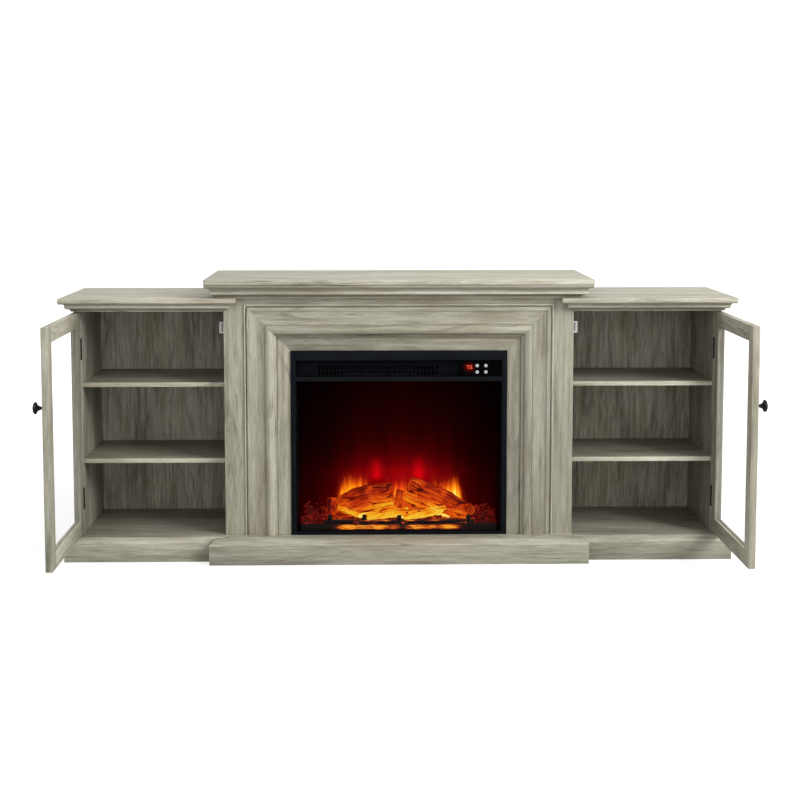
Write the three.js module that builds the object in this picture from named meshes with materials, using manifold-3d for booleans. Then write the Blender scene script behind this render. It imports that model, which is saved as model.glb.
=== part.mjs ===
// Fireplace TV stand: a raised mantel round an electric insert, between two cabinets with glazed doors.
// Millimetres, +Z up, +X to the right. The front faces -Y and the back stands against a wall.
// The origin is on the floor, at the middle of the width and of the depth.
// Depths are measured forward from the wall face. The doors stand open at a right angle.

import * as THREE from "three";
import { mergeVertices } from "three/addons/utils/BufferGeometryUtils.js";
import Module from "manifold-3d";

const wasm = await Module();
wasm.setup();

// Overall size
const overallWidth = 1778;
const overallHeight = 748;
const overallDepth = 388;
const plinthProjection = 69;
const boardThickness = 17;
const seatGap = 0.3;
const cutOverrun = 2;

// Mantel
const centreWidth = 922;
const mantelOverhang = 48;
const mantelTopThickness = 14.5;
const mantelRise = 50;
const friezeHeight = 52.5;
const pilasterWidth = 52;
const crown = { nose: 47, fillet: 32, step: 25, base: 17, baseShare: 0.21, filletShare: 0.19, coveShare: 0.26 };

// Side cabinets
const sideTopThickness = 13;
const sideOverhang = 32;
const sideTopLap = 34;
const corniceHeight = 23;
const cornice = { nose: 31, fillet: 17, step: 12, base: 3, baseShare: 0.31, filletShare: 0.2, coveShare: 0.26 };
const lowerShelfShare = 0.3344;
const upperShelfShare = 0.6773;
const shelfThickness = 12;
const shelfSetback = 34;
const backRecess = 18;
const backThickness = 6;

// Plinths
const plinthHeight = 64;
const baseBoardThickness = 16;
const bevelDepth = 14;
const bevelHeight = 10;
const centrePlinthOverhang = 37;
const sidePlinthOverhang = 27;
const sidePlinthFrontOverhang = 32;
const plinthBoardThickness = 16;

// Doors
const doorClearance = 3;
const doorFreeGap = 2;
const doorMember = 39;
const doorOpenAngle = Math.PI / 2;
const paneThickness = 3;
const paneInset = 6;
const paneGroove = 6;
const knobHeightShare = 0.6706;
const knob = { headRadius: 15, headDepth: 7, neckRadius: 4.5, footRadius: 8, footDepth: 2.5, projection: 26 };

// Hinges: a butt hinge let into the panel edge and the door edge
const hingeLength = 57;
const lowerHingeInset = 94;
const upperHingeInset = 98;
const hingeEdgeGap = 1.6;
const pinInset = 1.5;
const pinRadius = 1.1;
const knuckleRadius = 2.2;
const leafThickness = 1.2;
const leafWidth = 15.5;

// Magnetic catches
const catchHeight = 30;
const catchWidth = 16;
const catchDepth = 14;
const catchDrop = 42;
const catchDoorGap = 0.6;
const catchSlotWidth = 3;
const catchSlotDepth = 2;

// Surround moulding, from its outer edge inwards: shares of its width, and how far each member stands proud
const surround = {
  beadShare: 0.038,
  grooveShare: 0.027,
  filletShare: 0.073,
  coveShare: 0.283,
  torusShare: 0.191,
  quirkShare: 0.046,
  beadProud: 4,
  filletProud: 5,
  coveProud: 3,
  torusProud: 15,
  quirkProud: 8,
  bandProud: 2,
};

// Insert
const bezelHalfWidth = 286;
const bezelProud = 6;
const bezelThickness = 3.7;
const bezelCover = 8;
const windowHalfWidth = 271;
const windowBottomBar = 9.5;
const slotHalfWidth = 271;
const slotDrop = 27;
const slotHeight = 41;
const windowDrop = 83;
const glassThickness = 4;
const glassLap = 4;
const casingWall = 2;
const casingDepth = 180;
const casingClearance = 6;
const ductDrop = 75;
const panelWidth = 107;
const panelThickness = 3;
const grilleSetback = 6;
const grilleThickness = 2;
const grilleCentre = -55;
const grilleSlotCount = 32;
const grilleSlotWidth = 6;
const grilleSlotPitch = 10;
const grilleSlotHeight = 11;
const grilleSlotBar = 3;

// Push buttons of the control panel
const button = { radius: 4.5, proud: 1.5, collar: 1.2, collarThickness: 1.5, clearance: 0.3 };
const buttonColumns = [43.5, 66.5];
const buttonRows = [14, 31];

// Blower, heater, flame screen and spindle
const wheelRadius = 24;
const wheelLength = 300;
const wheelBladeCount = 16;
const wheelBlade = { thickness: 1.2, depth: 7 };
const wheelDiscThickness = 2;
const shaftRadius = 3;
const shaftClearance = 0.3;
const wheelSetback = 46.7;
const bracketReach = 30;
const heater = { length: 190, thickness: 9, fin: 2, finPitch: 10, core: 3 };
const heaterGap = 2;
const screenThickness = 3;
const screenSetback = 97.7;
const spindleRise = 38.7;
const spindleSetback = 140.7;
const spindle = { stars: 9, blades: 6, bladeReach: 20, bladeThickness: 1.2, bladeLength: 30 };
const intake = { slots: 14, width: 5, height: 26, pitch: 14 };
const gland = { side: 220, rise: 35.7, flangeRadius: 13, flange: 3, bodyRadius: 9, length: 20, boreRadius: 4 };

// Log set: the places are shares of the ember bed's width and depth and of the pile's height
const pileHeight = 140;
const emberBedHeight = 13;
const bedMargin = 4;
const logShares = [
  { from: [-0.3, 0.42, 0.5], to: [-0.045, 0.42, 0.84], radiusShares: [0.15, 0.19] },
  { from: [0.043, 0.42, 0.87], to: [0.3, 0.42, 0.45], radiusShares: [0.19, 0.15] },
  { from: [0.0, 0.45, 0.3], to: [0.002, 0.57, 0.77], radiusShares: [0.14, 0.12] },
  { from: [-0.3, 0.68, 0.41], to: [-0.06, 0.68, 0.54], radiusShares: [0.085, 0.1] },
  { from: [-0.2, 0.78, 0.26], to: [-0.03, 0.76, 0.43], radiusShares: [0.08, 0.1] },
  { from: [-0.01, 0.78, 0.28], to: [0.2, 0.76, 0.43], radiusShares: [0.1, 0.09] },
  { from: [0.2, 0.5, 0.42], to: [0.36, 0.66, 0.41], radiusShares: [0.11, 0.11] },
  { from: [-0.36, 0.66, 0.49], to: [-0.22, 0.5, 0.42], radiusShares: [0.11, 0.11] },
];
const heapShares = [[0, 0.44], [0.3, 0.38], [0.55, 0.32], [0.68, 0.46], [0.84, 0.66], [1, 0.62], [1, 0]];
const heapDepthShare = 0.62;
const emberRows = [{ depth: 0.87, rise: 0.1, count: 17 }, { depth: 0.7, rise: 0.2, count: 15 }];
const emberRadiusShare = 0.11;

// Places worked out from the sizes above
const wallY = overallDepth / 2;
const atDepth = (depth) => wallY - depth;
const centreHalf = centreWidth / 2;
const faceDepth = overallDepth - plinthProjection;
const sideTopHeight = overallHeight - mantelRise;
const cabinetOuter = overallWidth / 2 - sideOverhang;
const cabinetInner = centreHalf + seatGap;
const panelInner = cabinetOuter - boardThickness;
const doorBack = faceDepth - boardThickness;
const sideTopUnderside = sideTopHeight - sideTopThickness;
const corniceBottom = sideTopUnderside - corniceHeight;
const mantelTopUnderside = overallHeight - mantelTopThickness;
const floorTop = plinthHeight;
const baseBoardBottom = plinthHeight - baseBoardThickness;
const pinX = panelInner - pinInset;
const pinDepth = doorBack - pinInset;
const panelFront = pinDepth - hingeEdgeGap / 2;
const doorHingeEdge = pinInset + hingeEdgeGap / 2;
const doorWidth = panelInner - doorHingeEdge - centreHalf - doorFreeGap;
const doorBottom = floorTop + doorClearance;
const doorTop = corniceBottom - doorClearance;
const lowerShelfTop = floorTop + lowerShelfShare * (corniceBottom - floorTop);
const upperShelfTop = floorTop + upperShelfShare * (corniceBottom - floorTop);
const knobHeight = doorBottom + knobHeightShare * (doorTop - doorBottom);
const catchCentreHeight = doorTop - catchDrop;
const cabinetBackDepth = backRecess + backThickness;
const pilasterInner = centreHalf - pilasterWidth;
const surroundOuter = pilasterInner - seatGap;
const surroundInner = bezelHalfWidth - bezelCover;
const surroundWidth = surroundOuter - surroundInner;
const surroundTop = mantelTopUnderside - seatGap - friezeHeight;
const bezelTop = surroundTop - surroundWidth + bezelCover;
const slotTop = bezelTop - slotDrop;
const slotBottom = slotTop - slotHeight;
const windowTop = bezelTop - windowDrop;
const ductFloor = bezelTop - ductDrop;
const bezelFront = faceDepth + bezelProud;
const bezelBack = bezelFront - bezelThickness;
const glassFront = bezelBack - seatGap;
const glassBack = glassFront - glassThickness;
const casingFront = glassBack - seatGap;
const casingBack = casingFront - casingDepth;
const casingHalf = surroundInner - casingClearance;
const casingBottom = floorTop + seatGap;
const casingTop = bezelTop - bezelCover - casingClearance;
const chamberHalf = casingHalf - casingWall;
const chamberFloor = casingBottom + casingWall;
const ductBottom = ductFloor + casingWall;
const ductTop = casingTop - casingWall;
const ductMiddle = (ductBottom + ductTop) / 2;
const panelLeft = chamberHalf - panelWidth;
const wheelDepth = casingFront - wheelSetback;
const screenDepth = casingFront - screenSetback;
const spindleDepth = casingFront - spindleSetback;
const spindleHeight = chamberFloor + spindleRise;

// Finishes
const finish = (name, color, roughness, metalness) =>
  Object.assign(new THREE.MeshStandardMaterial({ color, roughness, metalness }), { name });
const woodColour = 0xa9a693;
const blackColour = 0x15161a;
const wood = () => finish("weathered wood", woodColour, 0.6, 0);
const blackMetal = () => finish("black painted metal", blackColour, 0.5, 0.6);
const glossBlack = () => finish("gloss black", 0x08080a, 0.12, 0);
const clearGlass = () =>
  Object.assign(finish("clear glass", 0xdfe9ea, 0.05, 0), { transparent: true, opacity: 0.25 });

const model = new THREE.Group();

function addMesh(name, geometry, material, parent = model) {
  const mesh = new THREE.Mesh(geometry, material);
  mesh.name = name;
  parent.add(mesh);
  return mesh;
}

// A box between two corners, given in any order
function box([x0, x1], [y0, y1], [z0, z1]) {
  const geometry = new THREE.BoxGeometry(Math.abs(x1 - x0), Math.abs(y1 - y0), Math.abs(z1 - z0));
  return geometry.translate((x0 + x1) / 2, (y0 + y1) / 2, (z0 + z1) / 2);
}

// A closed solid as a manifold, and back as a geometry
function solid(geometry) {
  const bare = geometry.clone();
  bare.deleteAttribute("normal");
  bare.deleteAttribute("uv");
  const merged = mergeVertices(bare);
  const vertProperties = new Float32Array(merged.attributes.position.array);
  const triVerts = new Uint32Array(merged.index.array);
  return new wasm.Manifold(new wasm.Mesh({ numProp: 3, vertProperties, triVerts }));
}

function toGeometry(manifold) {
  const mesh = manifold.getMesh();
  const geometry = new THREE.BufferGeometry();
  geometry.setAttribute("position", new THREE.BufferAttribute(new Float32Array(mesh.vertProperties), 3));
  geometry.setIndex(new THREE.BufferAttribute(new Uint32Array(mesh.triVerts), 1));
  return geometry;
}

function cut(geometry, ...tools) {
  return toGeometry(tools.reduce((body, tool) => body.subtract(solid(tool)), solid(geometry)));
}

function join(geometry, ...others) {
  return toGeometry(others.reduce((body, other) => body.add(solid(other)), solid(geometry)));
}

// The outer skin alone, which fills any sealed pocket
function withoutCavities(manifold) {
  return manifold.decompose().reduce((most, body) => (body.volume() > most.volume() ? body : most));
}

// The same geometry on the other side of the middle plane
function mirrored(geometry) {
  const copy = geometry.index ? geometry.toNonIndexed() : geometry.clone();
  copy.deleteAttribute("normal");
  copy.deleteAttribute("uv");
  const position = copy.attributes.position;
  for (let corner = 0; corner < position.count; corner += 3) {
    const [a, b, c] = [0, 2, 1].map((step) => new THREE.Vector3().fromBufferAttribute(position, corner + step));
    [a, b, c].forEach((point, step) => position.setXYZ(corner + step, -point.x, point.y, point.z));
  }
  return copy;
}

// A plan outline, given as [x, depth] points, raised between two heights
function plate(outline, z0, z1) {
  const shape = new THREE.Shape(outline.map(([x, depth]) => new THREE.Vector2(x, atDepth(depth))));
  return new THREE.ExtrudeGeometry(shape, { depth: z1 - z0, bevelEnabled: false }).translate(0, 0, z0);
}

// A profile swept along an open path with mitred corners and flat ends. The stations give, for each
// path point, the point itself and the directions that the profile's two coordinates run in.
function sweep(outlinePoints, stations) {
  const clockwise = THREE.ShapeUtils.isClockWise(outlinePoints.map(([a, b]) => new THREE.Vector2(a, b)));
  const profile = clockwise ? [...outlinePoints].reverse() : outlinePoints;
  const count = profile.length;
  const points = stations.flatMap(({ point, across, up }) =>
    profile.map(([a, b]) => point.clone().addScaledVector(across, a).addScaledVector(up, b)),
  );
  const faces = [];
  for (let station = 0; station + 1 < stations.length; station += 1) {
    for (let step = 0; step < count; step += 1) {
      const next = (step + 1) % count;
      const [a, b] = [station * count + step, station * count + next];
      faces.push([a, b, b + count], [a, b + count, a + count]);
    }
  }
  const outline = profile.map(([a, b]) => new THREE.Vector2(a, b));
  const cap = THREE.ShapeUtils.triangulateShape(outline, []);
  const last = (stations.length - 1) * count;
  cap.forEach(([a, b, c]) => faces.push([a, c, b], [last + a, last + b, last + c]));
  const geometry = new THREE.BufferGeometry();
  const corners = points.flatMap((point) => point.toArray());
  geometry.setAttribute("position", new THREE.BufferAttribute(new Float32Array(corners), 3));
  geometry.setIndex(faces.flat());
  return facingOut(geometry);
}

// Turns every face round where the solid came out inside out
function facingOut(geometry) {
  const index = geometry.index.array;
  const position = geometry.attributes.position;
  let volume = 0;
  for (let face = 0; face < index.length; face += 3) {
    const [a, b, c] = [0, 1, 2].map((step) => new THREE.Vector3().fromBufferAttribute(position, index[face + step]));
    volume += a.dot(b.cross(c));
  }
  if (volume < 0) {
    geometry.setIndex(Array.from(index).reverse());
  }
  return geometry;
}

// A round solid about the y axis, from a profile of [radius, distance towards the wall] points
function turned(profile, segments) {
  return new THREE.LatheGeometry(profile.map(([radius, height]) => new THREE.Vector2(radius, height)), segments);
}

// A moulding's profile as [projection, height] points: base, step, fillet, then a cove and a round nose
function mouldingProfile(sizes, back, bottom, top) {
  const { nose, fillet, step, base, baseShare, filletShare, coveShare } = sizes;
  const height = top - bottom;
  const stepHeight = bottom + baseShare * height;
  const filletBottom = stepHeight + (baseShare * height) / 2;
  const filletTop = filletBottom + filletShare * height;
  const coveTop = filletTop + coveShare * height;
  const coveReach = (nose + fillet) / 2;
  const shape = new THREE.Path();
  shape.moveTo(back, bottom);
  shape.lineTo(base, bottom);
  shape.quadraticCurveTo(base, stepHeight, step, stepHeight);
  shape.lineTo(fillet, filletBottom);
  shape.lineTo(fillet, filletTop);
  shape.quadraticCurveTo(fillet, coveTop, coveReach, coveTop);
  shape.quadraticCurveTo(nose, coveTop, nose, top);
  shape.lineTo(back, top);
  return shape.getPoints(5).map(({ x, y }) => [x, y]);
}

// A moulding that wraps a box: along its left end, its front and its right end
function wrapMoulding(profile, left, right, front, rear) {
  const up = new THREE.Vector3(0, 0, 1);
  const station = (x, depth, outX, outY) => ({
    point: new THREE.Vector3(x, atDepth(depth), 0),
    across: new THREE.Vector3(outX, outY, 0),
    up,
  });
  return sweep(profile, [
    station(left, rear, -1, 0),
    station(left, front, -1, -1),
    station(right, front, 1, -1),
    station(right, rear, 1, 0),
  ]);
}

// The mantel: top slab, crown, frieze and pilasters
function addMantel() {
  const half = centreHalf + mantelOverhang;
  const topBox = box([-half, half], [wallY, atDepth(faceDepth + mantelOverhang)], [mantelTopUnderside, overallHeight]);
  addMesh("mantel_top", topBox, wood());

  const top = mantelTopUnderside - seatGap;
  const profile = mouldingProfile(crown, seatGap, sideTopHeight + seatGap, top);
  addMesh("mantel_crown", wrapMoulding(profile, -centreHalf, centreHalf, faceDepth, 0), wood());

  const faceY = [atDepth(faceDepth), atDepth(doorBack)];
  const frieze = box([-surroundOuter, surroundOuter], faceY, [surroundTop + seatGap, top]);
  addMesh("frieze_board", frieze, wood());

  const pilaster = box([-centreHalf, -pilasterInner], faceY, [floorTop + seatGap, top]);
  addMesh("left_pilaster", pilaster, wood());
  addMesh("right_pilaster", mirrored(pilaster), wood());
}

// The surround's section as [distance in from the outer edge, distance forward of the back] points
function surroundProfile() {
  const s = surround;
  const back = boardThickness;
  const beadEnd = s.beadShare * surroundWidth;
  const grooveEnd = beadEnd + s.grooveShare * surroundWidth;
  const filletEnd = grooveEnd + s.filletShare * surroundWidth;
  const coveEnd = filletEnd + s.coveShare * surroundWidth;
  const torusEnd = coveEnd + s.torusShare * surroundWidth;
  const quirkEnd = torusEnd + s.quirkShare * surroundWidth;
  const shape = new THREE.Path();
  shape.moveTo(0, 0);
  shape.lineTo(0, back);
  shape.quadraticCurveTo(0, back + s.beadProud, beadEnd / 2, back + s.beadProud);
  shape.quadraticCurveTo(beadEnd, back + s.beadProud, beadEnd, back);
  shape.lineTo(grooveEnd, back);
  shape.lineTo(grooveEnd, back + s.filletProud);
  shape.lineTo(filletEnd, back + s.filletProud);
  shape.lineTo(filletEnd, back + s.coveProud);
  shape.quadraticCurveTo((filletEnd + coveEnd) / 2, back, coveEnd, back + s.filletProud);
  shape.lineTo(coveEnd, back + s.coveProud);
  const crest = (coveEnd + torusEnd) / 2;
  shape.quadraticCurveTo((coveEnd + crest) / 2, back + s.torusProud, crest, back + s.torusProud);
  shape.quadraticCurveTo(torusEnd, back + s.torusProud, torusEnd, back + s.quirkProud);
  shape.lineTo(quirkEnd, back + s.quirkProud);
  shape.lineTo(quirkEnd, back + s.bandProud);
  shape.lineTo(surroundWidth, back + s.bandProud);
  shape.lineTo(surroundWidth, 0);
  return shape.getPoints(6).map(({ x, y }) => [x, y]);
}

// Two uprights and a head, mitred at the top corners round the insert
function addSurround() {
  const profile = surroundProfile();
  const forward = new THREE.Vector3(0, -1, 0);
  const station = (x, z, inX, inZ) => ({
    point: new THREE.Vector3(x, atDepth(doorBack), z),
    across: new THREE.Vector3(inX, 0, inZ),
    up: forward,
  });
  const upright = sweep(profile, [
    station(-surroundOuter, floorTop + seatGap, 1, 0),
    station(-surroundOuter, surroundTop - seatGap, 1, -1),
  ]);
  addMesh("surround_left", upright, wood());
  addMesh("surround_right", mirrored(upright), wood());
  const head = sweep(profile, [station(-surroundOuter, surroundTop, 1, -1), station(surroundOuter, surroundTop, -1, -1)]);
  addMesh("surround_top", head, wood());
}

// A bar with a triangular section that bevels an edge: along the front, or along an end
function bevelAlongFront(x0, x1, front) {
  const section = new THREE.Shape([
    new THREE.Vector2(atDepth(front) - cutOverrun, plinthHeight + cutOverrun),
    new THREE.Vector2(atDepth(front) - cutOverrun, plinthHeight - bevelHeight * (1 + cutOverrun / bevelDepth)),
    new THREE.Vector2(atDepth(front) + bevelDepth * (1 + cutOverrun / bevelHeight), plinthHeight + cutOverrun),
  ]);
  const bar = new THREE.ExtrudeGeometry(section, { depth: x1 - x0, bevelEnabled: false });
  return bar.rotateX(Math.PI / 2).rotateZ(Math.PI / 2).translate(x0, 0, 0);
}

function bevelAlongLeft(x, front, rear) {
  const section = new THREE.Shape([
    new THREE.Vector2(x - cutOverrun, plinthHeight + cutOverrun),
    new THREE.Vector2(x - cutOverrun, plinthHeight - bevelHeight * (1 + cutOverrun / bevelDepth)),
    new THREE.Vector2(x + bevelDepth * (1 + cutOverrun / bevelHeight), plinthHeight + cutOverrun),
  ]);
  const bar = new THREE.ExtrudeGeometry(section, { depth: front - rear, bevelEnabled: false });
  return bar.rotateX(Math.PI / 2).translate(0, atDepth(rear), 0);
}

// Hearth board, its plinth and support rail, and the two dividers
function addCentreBase() {
  const half = centreHalf + centrePlinthOverhang;
  const sideFront = faceDepth + sidePlinthFrontOverhang + seatGap;
  const dividerInner = centreHalf - boardThickness - seatGap;
  const outline = [
    [-half, sideFront],
    [-half, overallDepth],
    [half, overallDepth],
    [half, sideFront],
    [centreHalf, sideFront],
    [centreHalf, doorBack],
    [dividerInner, doorBack],
    [dividerInner, 0],
    [-dividerInner, 0],
    [-dividerInner, doorBack],
    [-centreHalf, doorBack],
    [-centreHalf, sideFront],
  ];
  const leftBevel = bevelAlongLeft(-half, overallDepth + cutOverrun, sideFront - cutOverrun);
  const hearth = cut(
    plate(outline, baseBoardBottom, plinthHeight),
    bevelAlongFront(-half - cutOverrun, half + cutOverrun, overallDepth),
    leftBevel,
    mirrored(leftBevel),
  );
  addMesh("hearth_panel", hearth, wood());

  const innerFront = overallDepth - plinthBoardThickness;
  const innerHalf = half - plinthBoardThickness;
  const plinthOutline = [
    [-half, sideFront],
    [-half, overallDepth],
    [half, overallDepth],
    [half, sideFront],
    [innerHalf, sideFront],
    [innerHalf, innerFront],
    [-innerHalf, innerFront],
    [-innerHalf, sideFront],
  ];
  const plinthTop = baseBoardBottom - seatGap;
  addMesh("centre_plinth", plate(plinthOutline, 0, plinthTop), wood());

  const railHalf = boardThickness / 2;
  const rail = box([-railHalf, railHalf], [wallY, atDepth(innerFront - seatGap)], [0, plinthTop]);
  addMesh("hearth_support", rail, wood());

  const dividerX = [-centreHalf, -centreHalf + boardThickness];
  const divider = box(dividerX, [wallY, atDepth(doorBack - seatGap)], [0, mantelTopUnderside - seatGap]);
  addMesh("left_divider", divider, wood());
  addMesh("right_divider", mirrored(divider), wood());
}

// One piece of the left cabinet and its mirror image on the right
function addPair(name, geometry, makeMaterial) {
  addMesh(`left_${name}`, geometry, makeMaterial());
  addMesh(`right_${name}`, mirrored(geometry), makeMaterial());
}

function addCabinets() {
  // The slab laps over the face of the pilaster, so its inner front corner is notched round it
  const slabOutline = [
    [-overallWidth / 2, 0],
    [-cabinetInner, 0],
    [-cabinetInner, faceDepth + seatGap],
    [-centreHalf + sideTopLap, faceDepth + seatGap],
    [-centreHalf + sideTopLap, faceDepth + sideOverhang],
    [-overallWidth / 2, faceDepth + sideOverhang],
  ];
  addPair("side_top", plate(slabOutline, sideTopUnderside, sideTopHeight), wood);

  const corniceTop = sideTopUnderside - seatGap;
  const wrap = wrapMoulding(
    mouldingProfile(cornice, seatGap, corniceBottom, corniceTop), -cabinetOuter, -centreHalf, faceDepth, 0);
  const rail = box(
    [-panelInner + seatGap, -cabinetInner],
    [atDepth(faceDepth + cornice.base), atDepth(panelFront + seatGap)],
    [corniceBottom, corniceTop],
  );
  const pilasterRoom = box(
    [-cabinetInner, -centreHalf + sideTopLap + cutOverrun],
    [wallY + cutOverrun, atDepth(faceDepth + seatGap)],
    [corniceBottom - cutOverrun, corniceTop + cutOverrun],
  );
  addPair("side_cornice", cut(join(wrap, rail), pilasterRoom), wood);

  const bodyTop = sideTopUnderside - seatGap;
  const panel = box(
    [-cabinetOuter, -panelInner], [wallY, atDepth(panelFront)], [floorTop + seatGap, bodyTop]);
  const mortises = hingeCentres().map((height) => {
    const reach = hingeLength / 2 + seatGap;
    return box(
      [pinLeft(leafWidth + seatGap), -panelInner + cutOverrun],
      [atDepth(panelFront + cutOverrun), atDepth(pinDepth - knuckleRadius - seatGap)],
      [height - reach, height + reach],
    );
  });
  addPair("outer_panel", cut(panel, ...mortises), wood);

  const boardOuter = cabinetOuter + sidePlinthOverhang;
  const boardFront = faceDepth + sidePlinthFrontOverhang;
  const board = box([-boardOuter, -cabinetInner], [wallY, atDepth(boardFront)], [baseBoardBottom, plinthHeight]);
  const bottom = cut(
    board,
    bevelAlongFront(-boardOuter - cutOverrun, -cabinetInner + cutOverrun, boardFront),
    bevelAlongLeft(-boardOuter, boardFront + cutOverrun, -cutOverrun),
  );
  addPair("cabinet_bottom", bottom, wood);

  const plinthOutline = [
    [-boardOuter, 0],
    [-boardOuter, boardFront],
    [-cabinetInner, boardFront],
    [-cabinetInner, boardFront - plinthBoardThickness],
    [-boardOuter + plinthBoardThickness, boardFront - plinthBoardThickness],
    [-boardOuter + plinthBoardThickness, 0],
  ];
  addPair("side_plinth", plate(plinthOutline, 0, baseBoardBottom - seatGap), wood);

  const insideX = [-panelInner + seatGap, -cabinetInner];
  const back = box(insideX, [atDepth(backRecess), atDepth(cabinetBackDepth)], [floorTop + seatGap, bodyTop]);
  addPair("cabinet_back", back, wood);

  const shelfY = [atDepth(cabinetBackDepth + seatGap), atDepth(faceDepth - shelfSetback)];
  addPair("lower_shelf", box(insideX, shelfY, [lowerShelfTop - shelfThickness, lowerShelfTop]), wood);
  addPair("upper_shelf", box(insideX, shelfY, [upperShelfTop - shelfThickness, upperShelfTop]), wood);
}

// Heights of the hinge middles, and a place left of the left pin
function hingeCentres() {
  return [doorBottom + lowerHingeInset, doorTop - upperHingeInset];
}

function pinLeft(distance) {
  return -pinX - distance;
}

// Both hinges of the left door about their pin, in the open position: x runs left, y towards the wall
function hingeLeaf(side) {
  const z = hingeLength / 2;
  const plateBox = box(
    [-leafWidth, 0],
    [side * (knuckleRadius - leafThickness), side * knuckleRadius],
    [-z, z],
  );
  return plateBox;
}

function knuckle(radius, bottom, top) {
  return turned([[0, bottom], [radius, bottom], [radius, top], [0, top]], 16)
    .rotateX(Math.PI / 2);
}

function cabinetLeaf() {
  const third = hingeLength / 6;
  const z = hingeLength / 2;
  const middle = box([-knuckleRadius - seatGap, knuckleRadius + seatGap],
    [-knuckleRadius - seatGap, knuckleRadius + seatGap], [-third - seatGap, third + seatGap]);
  const body = join(hingeLeaf(1), knuckle(knuckleRadius, -z, z));
  return join(cut(body, middle), knuckle(pinRadius, -z, z));
}

function doorLeaf() {
  const third = hingeLength / 6;
  const room = knuckleRadius + seatGap;
  const z = hingeLength / 2;
  const ends = [[-z - cutOverrun, -third], [third, z + cutOverrun]].map((range) => box([-room, room], [-room, room], range));
  const body = join(hingeLeaf(-1), knuckle(knuckleRadius, -third, third));
  return cut(body, ...ends, knuckle(pinRadius + seatGap, -z, z));
}

function addCabinetLeaves() {
  const names = ["lower", "upper"];
  hingeCentres().forEach((height, step) => {
    const leaf = cabinetLeaf().translate(-pinX, atDepth(pinDepth), height);
    addPair(`${names[step]}_hinge_cabinet_leaf`, leaf, blackMetal);
  });
}

function addCatches() {
  const front = doorBack - catchDoorGap;
  const x0 = -cabinetInner - catchWidth;
  const z = [catchCentreHeight - catchHeight / 2, catchCentreHeight + catchHeight / 2];
  const body = box([x0, -cabinetInner], [atDepth(front - catchDepth), atDepth(front)], z);
  const slot = box(
    [x0 + catchSlotWidth, x0 + 2 * catchSlotWidth],
    [atDepth(front - catchSlotDepth), atDepth(front + cutOverrun)],
    [z[0] - cutOverrun, z[1] + cutOverrun],
  );
  addPair("magnetic_catch", cut(body, slot), () => finish("white plastic", 0xe8e8e6, 0.4, 0));
}

// The left door closed, seen from its pin: x runs along the door, y from its face to the wall
function doorPieces() {
  const x = [doorHingeEdge - pinInset, doorHingeEdge - pinInset + doorWidth];
  const y = [-pinInset - boardThickness, -pinInset];
  const z = [doorBottom, doorTop];
  const inner = (range, distance) => [range[0] + distance, range[1] - distance];
  const paneY = [y[0] + paneInset, y[0] + paneInset + paneThickness];
  const room = doorMember - paneGroove;
  const grooveY = [paneY[0] - seatGap, paneY[1] + seatGap];
  const cutY = [y[0] - cutOverrun, y[1] + cutOverrun];
  const opening = box(inner(x, doorMember), cutY, inner(z, doorMember));
  const groove = box(inner(x, room - seatGap), grooveY, inner(z, room - seatGap));
  const mortises = hingeCentres().map((height) => {
    const reach = hingeLength / 2 + seatGap;
    return box(
      [x[0] - cutOverrun, knuckleRadius + seatGap],
      [-leafWidth - seatGap, y[1] + cutOverrun],
      [height - reach, height + reach],
    );
  });
  return {
    door_frame: [cut(box(x, y, z), opening, groove, ...mortises), wood],
    door_glass: [box(inner(x, room), paneY, inner(z, room)), clearGlass],
    door_knob: [doorKnob(x[1] - doorMember / 2, y[0] - seatGap), blackMetal],
  };
}

// A mushroom knob on the door's face
function doorKnob(x, y) {
  const { headRadius, headDepth, neckRadius, footRadius, footDepth, projection } = knob;
  const profile = new THREE.Path();
  const waist = projection - headDepth;
  profile.moveTo(0, 0);
  profile.lineTo(footRadius, 0);
  profile.lineTo(footRadius, footDepth);
  profile.quadraticCurveTo(neckRadius, footDepth, neckRadius, (footDepth + waist) / 2);
  profile.quadraticCurveTo(neckRadius, waist, headRadius, waist);
  profile.quadraticCurveTo(headRadius, projection - headDepth / 3, headRadius / 2, projection);
  profile.lineTo(0, projection);
  const points = profile.getPoints(4).map(({ x: radius, y: height }) => [radius, height]);
  return turned(points, 24).rotateX(Math.PI).translate(x, y, knobHeight);
}

// Each door is built closed about its pin, then swung open
function addDoors() {
  const names = ["lower", "upper"];
  for (const side of [-1, 1]) {
    const door = new THREE.Group();
    door.position.set(side * pinX, atDepth(pinDepth), 0);
    door.rotation.z = side * doorOpenAngle;
    model.add(door);
    const prefix = side < 0 ? "left" : "right";
    const place = (geometry) => (side < 0 ? geometry : mirrored(geometry));
    Object.entries(doorPieces()).forEach(([name, [geometry, makeMaterial]]) => {
      addMesh(`${prefix}_${name}`, place(geometry), makeMaterial(), door);
    });
    hingeCentres().forEach((height, step) => {
      const leaf = doorLeaf().rotateZ(doorOpenAngle).translate(0, 0, height);
      addMesh(`${prefix}_${names[step]}_hinge_door_leaf`, place(leaf), blackMetal(), door);
    });
  }
}

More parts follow.
